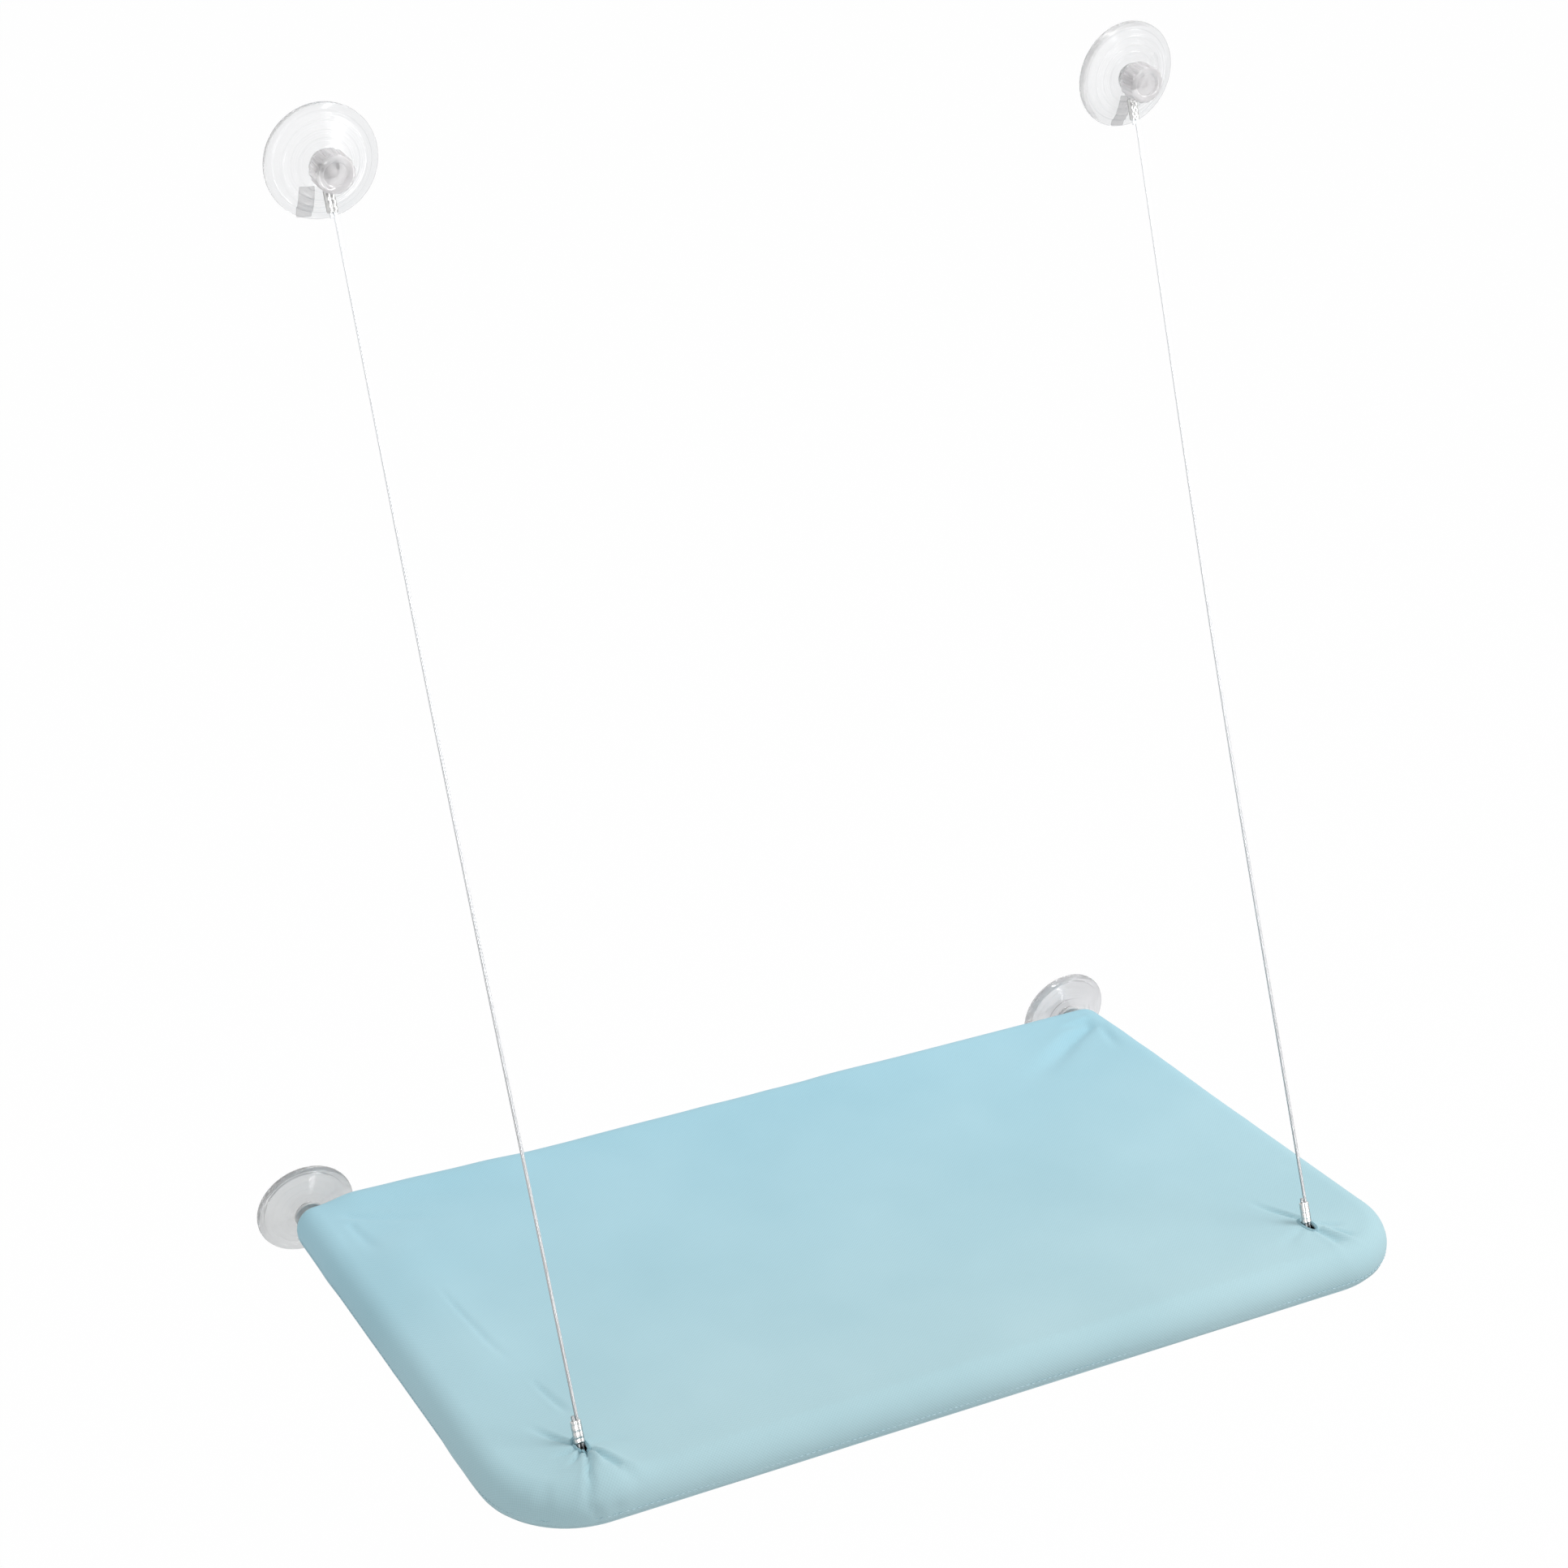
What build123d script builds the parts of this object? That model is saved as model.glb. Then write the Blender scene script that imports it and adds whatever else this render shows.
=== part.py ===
from build123d import *
import math
import os

# Window mounted cat perch: a cloth covered tube frame hinged on two suction cups near the glass,
# its front corners hung from two steel cables on two higher suction cups.
# Millimetres. The glass is the plane y = 0, the room lies towards -Y, +Z is up, +X is right seen
# from the room. The origin is midway between the two lower cups.

# Places of the cups on the glass: the lower ones in line with the bed's side tubes
UPPER_CUP_INSET = 30.0
CUP_RISE = 646.0

# The bed: its hinge line, its slope and its size between tube centres
HINGE_STANDOFF = 27.0
HINGE_RISE = 3.5
BED_SLOPE_DEG = 9.5
BED_HALF_WIDTH = 266.5
BED_DEPTH = 330.0
FRONT_BEND_RADIUS = 40.0

# Frame tubes and their plug-in corner pieces
TUBE_RADIUS = 12.0
TUBE_WALL = 1.5
SPIGOT_CLEARANCE = 0.05
SPIGOT_LENGTH = 25.0
SPIGOT_WALL = 2.2
SPIGOT_CHAMFER = 1.0
REAR_CORNER_REACH = 24.0
REAR_BORE_START = 15.0
FRONT_CORNER_REACH = 10.0

# Hinge straps, pins and the fork in each rear corner piece
STRAP_THICKNESS = 2.0
STRAP_WIDTH = 9.0
STRAP_PLATE_RADIUS = 9.0
STRAP_BEND_RADIUS = 5.0
STRAP_COVER_GAP = 1.5
STRAP_END_DEG = 285.0
STRAP_HOLE_CLEARANCE = 0.1
PIN_RADIUS = 3.0
PIN_LENGTH = 21.0
PIN_CHAMFER = 0.4
PIN_RUNNING_CLEARANCE = 0.06
FORK_SIDE_CLEARANCE = 0.5
FORK_ROUND_CLEARANCE = 0.55
FORK_FRONT_EDGE = 1.5

# Suction cups, turned about the stud axis
CUP_RADIUS = 30.0
CUP_SEAL_WIDTH = 6.5
CUP_CAVITY_DEPTH = 1.8
CUP_CEILING_SHARE = 0.75
CUP_LIP_EDGE = 1.0
CUP_LIP_THICKNESS = 1.4
CUP_STEP_INSET = 3.8
CUP_STEP_RUN = 0.5
CUP_STEP_HEIGHT = 2.8
CUP_DOME_HEIGHT = 5.8
CUP_DOME_BULGE = 0.9
CUP_SHOULDER_RADIUS = 10.5
CUP_HUB_RADIUS = 8.0
CUP_HUB_HEIGHT = 7.5
TAB_WIDTH = 7.0
TAB_START = 11.0
TAB_PROUD = 0.9
TAB_TURN_DEG = 258.0
TAB_EDGE_INSET = 0.6

# Studs moulded into the cups, and the plain nuts behind the bed
STUD_RADIUS = 2.5
STUD_HEAD_RADIUS = 6.0
STUD_HEAD_THICKNESS = 1.5
STUD_HEAD_DEPTH = 3.2
STUD_TIP_CHAMFER = 0.5
UPPER_STUD_ENGAGEMENT = 9.0
LOWER_STUD_PROUD = 0.7
HEX_NUT_FLATS = 8.0
HEX_NUT_THICKNESS = 2.7

# Washers and clear thumb nuts on the upper studs
WASHER_RADIUS = 6.0
WASHER_THICKNESS = 1.0
THUMB_RADIUS = 10.5
THUMB_LENGTH = 12.0
THUMB_RIBS = 16
THUMB_FLUTE_RADIUS = 1.5
THUMB_FLUTE_DEPTH = 0.8
THUMB_EDGE = 1.2
THUMB_DISH_RADIUS = 6.5
THUMB_DISH_DEPTH = 0.8
THUMB_TIP_SPACE = 1.0
THREAD_RUNNING_CLEARANCE = 0.06

# Cables
CABLE_RADIUS = 1.0
LOOP_RADIUS = 3.9
LOOP_LENGTH = 7.5
LOOP_BEND_RUN = 2.7
LOOP_TAIL = 1.5
LOOP_FILLET = 4.0
LEG_HALF_SPACING = 1.05
LOOP_SEAT_GAP = 0.2
FERRULE_LENGTH = 12.0
FERRULE_WALL = 0.9
FERRULE_EDGE = 0.4

# Cable lugs on the front corner pieces
LUG_INSET = 39.5
LUG_SETBACK = 23.0
LUG_THICKNESS = 3.0
LUG_HOLE_CLEARANCE = 0.7
LUG_SEAT_SHIFT = 0.2
LUG_LIGAMENT = 2.5
LUG_REAR = 6.0
LUG_WEB_HALF_WIDTH = 6.0
LUG_WEB_TOP = 5.0
LUG_WEB_THICKNESS = 4.0

# Cloth cover
CLOTH = 1.2
CLOTH_CLEARANCE = 0.3
TOP_SAG = 8.0
SEAM_DEG = -30.0
SLIT_LENGTH = 14.0
SLIT_WIDTH = 5.0
BINDING_WIDTH = 1.8
BINDING_HEIGHT = 0.6
BINDING_GAP = 0.3
COVER_SLOT_TOP = 4.5
COVER_SLOT_SIDE_CLEARANCE = 0.7
FLAP_END_INSET = 28.5
FLAP_RISE = 3.0
FLAP_REACH = 34.0
TAPE_END_INSET = 6.0
TAPE_WIDTH = 16.0
TAPE_THICKNESS = 0.6
TAPE_REAR_EDGE = 14.0

# One overrun serves all cuts
OVERRUN = 1.0

SIDES = {"left": -1, "right": 1}
SLOPE = math.radians(BED_SLOPE_DEG)
UPPER_CUP_X = BED_HALF_WIDTH - UPPER_CUP_INSET
LUG_X = BED_HALF_WIDTH - LUG_INSET
LUG_DEPTH = BED_DEPTH - LUG_SETBACK
FLAP_HALF_LENGTH = BED_HALF_WIDTH - FLAP_END_INSET
TAPE_HALF_LENGTH = FLAP_HALF_LENGTH - TAPE_END_INSET
COVER_INNER = TUBE_RADIUS + CLOTH_CLEARANCE
COVER_OUTER = COVER_INNER + CLOTH
PLATE_FRONT = CUP_HUB_HEIGHT + STRAP_THICKNESS
LOWER_STUD_END = PLATE_FRONT + HEX_NUT_THICKNESS + LOWER_STUD_PROUD
RING_STAND = CUP_HUB_HEIGHT + LOOP_SEAT_GAP + CABLE_RADIUS
WASHER_BACK = RING_STAND + CABLE_RADIUS + LOOP_SEAT_GAP
THUMB_BACK = WASHER_BACK + WASHER_THICKNESS
UPPER_STUD_END = THUMB_BACK + UPPER_STUD_ENGAGEMENT
LUG_HOLE_RADIUS = CABLE_RADIUS + LUG_HOLE_CLEARANCE
LOWER_LOOP_END = LOOP_LENGTH + LOOP_BEND_RUN + LOOP_TAIL


def bed_point(x, depth, height):
    """A point of the bed, by its distance in front of the hinge line and above the frame's plane."""
    return Vector(
        x,
        -HINGE_STANDOFF - depth * math.cos(SLOPE) + height * math.sin(SLOPE),
        HINGE_RISE + depth * math.sin(SLOPE) + height * math.cos(SLOPE),
    )


def on_bed(shape):
    """Lays a piece drawn level, hinge line at the origin and front towards -Y, into its sloping place."""
    return Location((0, -HINGE_STANDOFF, HINGE_RISE), (-BED_SLOPE_DEG, 0, 0)) * shape


def rod(start, end, radius):
    """A plain round rod between two points."""
    run = Vector(end) - Vector(start)
    return extrude(Plane(origin=Vector(start), z_dir=run) * Circle(radius), run.length)


def block(low, high):
    """A block between two corners."""
    size = [b - a for a, b in zip(low, high)]
    middle = [(a + b) / 2 for a, b in zip(low, high)]
    return Pos(*middle) * Box(*size)


def to_glass(shape):
    """Turns a piece drawn with its axis up Z, the glass at 0, to stand out of the glass into the room."""
    return Rot(90, 0, 0) * shape


def cable_points(side):
    """One cable's upper ring centre, the bend under it, its lower ring centre and the way up along it."""
    ring = Vector(side * UPPER_CUP_X, -RING_STAND, CUP_RISE)
    hole = bed_point(side * LUG_X, LUG_DEPTH, 0)
    down = Vector(hole.X - ring.X, 0, hole.Z - ring.Z).normalized()
    bend = ring + down * (LOOP_LENGTH + LOOP_BEND_RUN)
    up = (bend - hole).normalized()
    return ring, bend, hole + up * (LOOP_RADIUS + LUG_SEAT_SHIFT), up


def cup_profile():
    """The half section of a cup: x is the distance from its axis, y the height above the glass."""
    step_radius = CUP_RADIUS - CUP_STEP_INSET
    seal_radius = CUP_RADIUS - CUP_SEAL_WIDTH
    step_top = (step_radius - CUP_STEP_RUN, CUP_STEP_HEIGHT)
    shoulder = (CUP_SHOULDER_RADIUS, CUP_DOME_HEIGHT)
    with BuildSketch() as section:
        with BuildLine():
            ceiling = (0, CUP_CAVITY_DEPTH)
            lip_top = (CUP_RADIUS, CUP_LIP_EDGE)
            Polyline((seal_radius, 0), (CUP_RADIUS, 0), lip_top, (step_radius, CUP_LIP_THICKNESS), step_top)
            middle = ((step_top[0] + shoulder[0]) / 2, (step_top[1] + shoulder[1]) / 2 + CUP_DOME_BULGE)
            ThreePointArc(step_top, middle, shoulder)
            hub_foot = (CUP_HUB_RADIUS, CUP_DOME_HEIGHT)
            Polyline(shoulder, hub_foot, (CUP_HUB_RADIUS, CUP_HUB_HEIGHT), (0, CUP_HUB_HEIGHT), ceiling)
            bowed = (seal_radius / 2, CUP_CAVITY_DEPTH * CUP_CEILING_SHARE)
            ThreePointArc(ceiling, bowed, (seal_radius, 0))
        make_face()
    return section.sketch


def suction_cup():
    """A clear cup, its axis up Z: sealing lip, stepped dome, hub, release rib and a pocket for the stud."""
    cup = revolve(Plane.XZ * cup_profile(), Axis.Z)
    shell_height = CUP_DOME_HEIGHT + TAB_PROUD
    rib = block((TAB_START, -TAB_WIDTH / 2, 0), (CUP_RADIUS - TAB_EDGE_INSET, TAB_WIDTH / 2, shell_height))
    proud = Pos(0, 0, TAB_PROUD) * cup
    rib = (Rot(0, 0, TAB_TURN_DEG) * rib) & proud
    cup = cup + rib.cut(cavity_fill())
    head = Pos(0, 0, STUD_HEAD_DEPTH) * extrude(Circle(STUD_HEAD_RADIUS), STUD_HEAD_THICKNESS)
    shank = Pos(0, 0, STUD_HEAD_DEPTH) * extrude(Circle(STUD_RADIUS), CUP_HUB_HEIGHT)
    return cup - head - shank


def cavity_fill():
    """The space under a cup that its rib must stay out of."""
    return extrude(Circle(CUP_RADIUS - CUP_SEAL_WIDTH), CUP_CAVITY_DEPTH)


def stud(end):
    """A stud with a flat head, its axis up Z, its tip at the given height above the glass."""
    head = Pos(0, 0, STUD_HEAD_DEPTH) * extrude(Circle(STUD_HEAD_RADIUS), STUD_HEAD_THICKNESS)
    shank = Pos(0, 0, STUD_HEAD_DEPTH) * extrude(Circle(STUD_RADIUS), end - STUD_HEAD_DEPTH)
    body = head + shank
    return chamfer(body.faces().sort_by(Axis.Z)[-1].edges(), STUD_TIP_CHAMFER)


def thumb_nut():
    """A clear ribbed thumb nut with a dished front, its axis up Z, blind at the front."""
    nut = extrude(Circle(THUMB_RADIUS), THUMB_LENGTH)
    nut = chamfer(nut.edges().filter_by(GeomType.CIRCLE), THUMB_EDGE)
    flute_reach = THUMB_RADIUS + THUMB_FLUTE_RADIUS - THUMB_FLUTE_DEPTH
    nut -= PolarLocations(flute_reach, THUMB_RIBS) * extrude(Circle(THUMB_FLUTE_RADIUS), THUMB_LENGTH)
    nut -= Pos(0, 0, THUMB_LENGTH - THUMB_DISH_DEPTH) * extrude(Circle(THUMB_DISH_RADIUS), THUMB_LENGTH)
    bore_depth = UPPER_STUD_ENGAGEMENT + THUMB_TIP_SPACE
    nut -= Pos(0, 0, -OVERRUN) * extrude(Circle(STUD_RADIUS + THREAD_RUNNING_CLEARANCE), bore_depth + OVERRUN)
    return Pos(0, 0, THUMB_BACK) * nut


def washer():
    """The flat washer between a cable loop and a thumb nut, its axis up Z."""
    return Pos(0, 0, WASHER_BACK) * extrude(Circle(WASHER_RADIUS) - Circle(STUD_RADIUS), WASHER_THICKNESS)


def hex_nut():
    """The thin nut that holds a hinge strap on a lower stud, its axis up Z."""
    across_corners = HEX_NUT_FLATS / math.cos(math.pi / 6) / 2
    nut = extrude(RegularPolygon(across_corners, 6) - Circle(STUD_RADIUS), HEX_NUT_THICKNESS)
    return Pos(0, 0, PLATE_FRONT) * nut


def strap_profile():
    """The side view of a hinge strap in the glass's frame: x is y, y is z."""
    half = STRAP_THICKNESS / 2
    eye_radius = PIN_RADIUS + PIN_RUNNING_CLEARANCE + half
    back = -CUP_HUB_HEIGHT - half
    rise = -HINGE_STANDOFF + eye_radius
    bottom = HINGE_RISE - COVER_OUTER - STRAP_COVER_GAP - half
    bend = STRAP_BEND_RADIUS
    with BuildLine() as line:
        Line((back, 0), (back, bottom + bend))
        CenterArc((back - bend, bottom + bend), bend, 0, -90)
        Line((back - bend, bottom), (rise + bend, bottom))
        CenterArc((rise + bend, bottom + bend), bend, 270, -90)
        Line((rise, bottom + bend), (rise, HINGE_RISE))
        CenterArc((-HINGE_STANDOFF, HINGE_RISE), eye_radius, 0, STRAP_END_DEG)
    return trace(line.line, STRAP_THICKNESS)


def hinge_strap(x):
    """A bent steel strap: a round plate under the nut, a hook under the bed and a rolled eye."""
    side = Plane(origin=(x - STRAP_WIDTH / 2, 0, 0), x_dir=(0, 1, 0), z_dir=(1, 0, 0))
    strap = extrude(side * strap_profile(), STRAP_WIDTH)
    plate = Pos(0, 0, CUP_HUB_HEIGHT) * extrude(Circle(STRAP_PLATE_RADIUS), STRAP_THICKNESS)
    strap = strap + Pos(x, 0, 0) * to_glass(plate)
    hole = rod((x, 0, 0), (x, -PLATE_FRONT - OVERRUN, 0), STUD_RADIUS + STRAP_HOLE_CLEARANCE)
    return strap - hole


def hollow_leg(start, direction, reach, bore_start):
    """A leg of a corner piece: a body as thick as the tube, a spigot for the tube, and its bore."""
    shoulder = start + direction * reach
    end = shoulder + direction * SPIGOT_LENGTH
    spigot_radius = TUBE_RADIUS - TUBE_WALL - SPIGOT_CLEARANCE
    spigot = rod(shoulder - direction * OVERRUN, end, spigot_radius)
    far_edge = spigot.faces().sort_by(lambda face: (face.center() - end).length)[0].edges()
    spigot = chamfer(far_edge, SPIGOT_CHAMFER)
    body = rod(start, shoulder, TUBE_RADIUS) + spigot
    bore = rod(start + direction * bore_start, end + direction * OVERRUN, spigot_radius - SPIGOT_WALL)
    return body, bore


def rear_corner(side):
    """A rear corner piece: a ball shaped corner with two spigots and a fork for the hinge eye."""
    centre = Vector(side * BED_HALF_WIDTH, 0, 0)
    inward, inward_bore = hollow_leg(centre, Vector(-side, 0, 0), REAR_CORNER_REACH, REAR_BORE_START)
    forward, forward_bore = hollow_leg(centre, Vector(0, -1, 0), REAR_CORNER_REACH, REAR_BORE_START)
    body = Pos(*centre) * Sphere(TUBE_RADIUS) + inward + forward - inward_bore - forward_bore
    half_gap = STRAP_WIDTH / 2 + FORK_SIDE_CLEARANCE
    eye_room = PIN_RADIUS + PIN_RUNNING_CLEARANCE + STRAP_THICKNESS + FORK_ROUND_CLEARANCE
    edge = TUBE_RADIUS + OVERRUN
    body -= block((centre.X - half_gap, FORK_FRONT_EDGE, -edge), (centre.X + half_gap, edge, eye_room))
    body -= rod((centre.X - half_gap, 0, 0), (centre.X + half_gap, 0, 0), eye_room)
    return body - rod((centre.X - edge, 0, 0), (centre.X + edge, 0, 0), PIN_RADIUS)


def hinge_pin(side):
    """The steel pin across the fork."""
    middle = side * BED_HALF_WIDTH
    pin = rod((middle - PIN_LENGTH / 2, 0, 0), (middle + PIN_LENGTH / 2, 0, 0), PIN_RADIUS)
    return chamfer(pin.edges().filter_by(GeomType.CIRCLE), PIN_CHAMFER)


def front_bend(side, radius):
    """A quarter of a ring of round bar along the bend of a front corner."""
    turn = Vector(side * (BED_HALF_WIDTH - FRONT_BEND_RADIUS), FRONT_BEND_RADIUS - BED_DEPTH, 0)
    start = Plane(origin=turn + Vector(side * FRONT_BEND_RADIUS, 0, 0), x_dir=(1, 0, 0), z_dir=(0, 1, 0))
    return revolve(start * Circle(radius), Axis(turn, (0, 0, 1)), -side * 90)


def front_corner(side):
    """A front corner piece: a bend with two spigots and a lug on its inner side for the cable."""
    side_end = Vector(side * BED_HALF_WIDTH, FRONT_BEND_RADIUS - BED_DEPTH, 0)
    front_end = Vector(side * (BED_HALF_WIDTH - FRONT_BEND_RADIUS), -BED_DEPTH, 0)
    rearward, rear_bore = hollow_leg(side_end, Vector(0, 1, 0), FRONT_CORNER_REACH, 0)
    inward, inner_bore = hollow_leg(front_end, Vector(-side, 0, 0), FRONT_CORNER_REACH, 0)
    body = front_bend(side, TUBE_RADIUS) + rearward + inward + cable_lug(side)
    bore_radius = TUBE_RADIUS - TUBE_WALL - SPIGOT_CLEARANCE - SPIGOT_WALL
    return body - front_bend(side, bore_radius) - rear_bore - inner_bore


def cable_lug(side):
    """The lug and its web, reaching back from the front tube line, with the hole for the cable ring."""
    middle = side * LUG_X
    rear = LUG_REAR - LUG_DEPTH
    root = TUBE_RADIUS - TUBE_WALL - BED_DEPTH
    low = -LUG_WEB_TOP - LUG_WEB_THICKNESS
    half = LUG_THICKNESS / 2
    web = block((middle - LUG_WEB_HALF_WIDTH, root, low), (middle + LUG_WEB_HALF_WIDTH, rear, -LUG_WEB_TOP))
    fin = block((middle - half, root, low), (middle + half, rear, LUG_HOLE_RADIUS + LUG_LIGAMENT))
    crown = fin.edges().filter_by(Axis.X).group_by(Axis.Z)[-1].sort_by(Axis.Y)[-1]
    fin = fillet(crown, LUG_LIGAMENT)
    hole_start = (middle - LUG_THICKNESS, -LUG_DEPTH, 0)
    return web + fin - rod(hole_start, (middle + LUG_THICKNESS, -LUG_DEPTH, 0), LUG_HOLE_RADIUS)


def frame_tube(start, end):
    """A straight frame tube."""
    return rod(start, end, TUBE_RADIUS) - rod(start, end, TUBE_RADIUS - TUBE_WALL)


def loop_across(along, normal):
    """The unit vector across a loop that leads away along one direction, square to its plane's normal."""
    return along.cross(normal).normalized()


def cable_loop(ring, along, across, spine):
    """A loop of cable round a stud or through a lug, its two legs drawn together along the spine."""
    foot = Vector(LEG_HALF_SPACING, LOOP_LENGTH)
    lean = math.atan2(foot.Y, foot.X) - math.acos(LOOP_RADIUS / foot.length)
    reach = along * (LOOP_RADIUS * math.sin(lean))
    spread = across * (LOOP_RADIUS * math.cos(lean))
    step = across * LEG_HALF_SPACING
    first = [point + step for point in reversed(spine)] + [ring + reach + spread]
    second = [ring + reach - spread] + [point - step for point in spine]
    with BuildLine() as path:
        FilletPolyline(*first, radius=LOOP_FILLET)
        ThreePointArc(first[-1], ring - along * LOOP_RADIUS, second[0])
        FilletPolyline(*second, radius=LOOP_FILLET)
    start = Plane(origin=first[0], z_dir=first[1] - first[0]) * Circle(CABLE_RADIUS)
    return sweep(start, path=path.line)


def upper_loop(side):
    """The loop under a thumb nut: flat on the cup's hub, its legs bent out into the room."""
    ring, bend, lower_ring, up = cable_points(side)
    down = (bend - ring).normalized()
    spine = [ring + down * LOOP_LENGTH, bend, bend - up * LOOP_TAIL]
    return cable_loop(ring, down, loop_across(down, Vector(0, 1, 0)), spine)


def lower_loop(side):
    """The loop through a lug, in line with its cable."""
    ring, bend, lower_ring, up = cable_points(side)
    spine = [lower_ring + up * LOOP_LENGTH, lower_ring + up * LOWER_LOOP_END]
    return cable_loop(lower_ring, up, loop_across(up, Vector(0, 1, 0)), spine)


def ferrule(start, along):
    """The pressed sleeve that holds a loop's two legs."""
    base = Plane(origin=start, x_dir=loop_across(along, Vector(0, 1, 0)), z_dir=along)
    thickness = 2 * (CABLE_RADIUS + FERRULE_WALL)
    sleeve = extrude(base * SlotOverall(thickness + 2 * LEG_HALF_SPACING, thickness), FERRULE_LENGTH)
    ends = sleeve.faces().sort_by(lambda face: (face.center() - start).dot(along))
    return chamfer(ends[0].edges() + ends[-1].edges(), FERRULE_EDGE)


def cable(side):
    """The free stretch of one cable, from ferrule to ferrule."""
    ring, bend, lower_ring, up = cable_points(side)
    top = bend - up * (LOOP_TAIL + FERRULE_LENGTH)
    return rod(lower_ring + up * (LOWER_LOOP_END + FERRULE_LENGTH), top, CABLE_RADIUS)


def rim_section(low_deg, high_deg):
    """A slice of the cloth round a tube: x is outwards from the tube's centre, y is up."""
    with BuildSketch() as section:
        with BuildLine():
            outer = CenterArc((0, 0), COVER_OUTER, low_deg, high_deg - low_deg)
            inner = CenterArc((0, 0), COVER_INNER, low_deg, high_deg - low_deg)
            Line(outer @ 0, inner @ 0)
            Line(outer @ 1, inner @ 1)
        make_face()
    return section.sketch


def cloth_rim(low_deg, high_deg):
    """The cloth round the frame's four tubes and corners between two angles."""
    section = rim_section(low_deg, high_deg)
    side_run = BED_DEPTH - FRONT_BEND_RADIUS
    front_run = 2 * (BED_HALF_WIDTH - FRONT_BEND_RADIUS)
    rear_run = 2 * BED_HALF_WIDTH
    pieces = []
    for side in SIDES.values():
        outwards = Plane(origin=(side * BED_HALF_WIDTH, 0, 0), x_dir=(side, 0, 0), z_dir=(0, -side, 0))
        pieces.append(extrude(outwards * section, side * side_run))
        corner = Vector(side * BED_HALF_WIDTH, 0, 0)
        pieces.append(revolve(outwards * section, Axis(corner, (0, 0, 1)), side * 90))
        turn = Vector(side * (BED_HALF_WIDTH - FRONT_BEND_RADIUS), -side_run, 0)
        start = Plane(origin=(side * BED_HALF_WIDTH, -side_run, 0), x_dir=(side, 0, 0), z_dir=(0, -side, 0))
        pieces.append(revolve(start * section, Axis(turn, (0, 0, 1)), -side * 90))
    front = Plane(origin=(-front_run / 2, -BED_DEPTH, 0), x_dir=(0, -1, 0), z_dir=(-1, 0, 0))
    pieces.append(extrude(front * section, -front_run))
    rear = Plane(origin=(-rear_run / 2, 0, 0), x_dir=(0, 1, 0), z_dir=(1, 0, 0))
    pieces.append(extrude(rear * section, rear_run))
    return pieces


def bed_plan():
    """The outline of the bed along the tube centres, seen from above."""
    outline = Pos(0, -BED_DEPTH / 2) * Rectangle(2 * BED_HALF_WIDTH, BED_DEPTH)
    front = outline.vertices().group_by(Axis.Y)[0]
    return fillet(front, FRONT_BEND_RADIUS)


def sag_at(x, depth):
    """How far the top cloth hangs below its edges at a place."""
    across = x / BED_HALF_WIDTH
    along = 2 * depth / BED_DEPTH - 1
    return TOP_SAG * (1 - across ** 2) * (1 - along ** 2)


def sagging_panel():
    """The top cloth between the tubes: a sheet that hangs between four straight edges."""
    shares = (0, 2, 0)
    grid = []
    for i, share_x in enumerate(shares):
        row = []
        for j, share_y in enumerate(shares):
            drop = TOP_SAG * share_x * share_y
            row.append(Vector((i - 1) * BED_HALF_WIDTH, -j * BED_DEPTH / 2, COVER_INNER - drop))
        grid.append(row)
    face = Face.make_bezier_surface(grid)
    sheet = Part(Solid.extrude(face, Vector(0, 0, CLOTH)).wrapped)
    for side in SIDES.values():
        sheet -= corner_scrap(side)
    return sheet


def corner_scrap(side):
    """What lies outside the round of a front corner."""
    turn_x = BED_HALF_WIDTH - FRONT_BEND_RADIUS
    turn_y = FRONT_BEND_RADIUS - BED_DEPTH
    edge = FRONT_BEND_RADIUS + OVERRUN
    scrap = block((0, -edge, -TOP_SAG), (edge, 0, COVER_OUTER + TOP_SAG))
    scrap -= rod((0, 0, -TOP_SAG - OVERRUN), (0, 0, COVER_OUTER + TOP_SAG + OVERRUN), FRONT_BEND_RADIUS)
    scrap = Pos(turn_x, turn_y, 0) * scrap
    return scrap if side > 0 else mirror(scrap, about=Plane.YZ)


def strap_slots():
    """The slots in the cloth that the two hinge straps turn in."""
    half = STRAP_WIDTH / 2 + COVER_SLOT_SIDE_CLEARANCE
    edge = COVER_OUTER + OVERRUN
    slots = []
    for side in SIDES.values():
        x = side * BED_HALF_WIDTH
        slots.append(block((x - half, FORK_FRONT_EDGE, -edge), (x + half, edge, COVER_SLOT_TOP)))
    return slots


def slit_place(side):
    """Where one cable passes the top cloth: its x, its depth from the hinge line and the cloth's top."""
    ring, bend, lower_ring, up = cable_points(side)
    rise_y = up.Y * math.sin(SLOPE) + up.Z * math.cos(SLOPE)
    back = up.Y * math.cos(SLOPE) - up.Z * math.sin(SLOPE)
    top = COVER_OUTER - sag_at(LUG_X, LUG_DEPTH)
    return side * LUG_X + up.X * top / rise_y, LUG_DEPTH - back * top / rise_y, top


def cover_top():
    """The top cloth: the sagging panel, its wrap over the tubes, and the front-to-back cable slits."""
    cover = sagging_panel() + cloth_rim(SEAM_DEG, 90)
    for side in SIDES.values():
        x, depth, top = slit_place(side)
        slit = extrude(SlotOverall(SLIT_LENGTH, SLIT_WIDTH, rotation=90), TOP_SAG)
        cover -= Pos(x, -depth, top - TOP_SAG / 2) * slit
    return cover - strap_slots()


def cover_bottom():
    """The lower cloth: a flat panel and its wrap under the tubes up to the seam."""
    panel = Pos(0, 0, -COVER_OUTER) * extrude(bed_plan(), CLOTH)
    return panel + cloth_rim(-90, SEAM_DEG) - strap_slots()


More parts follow.
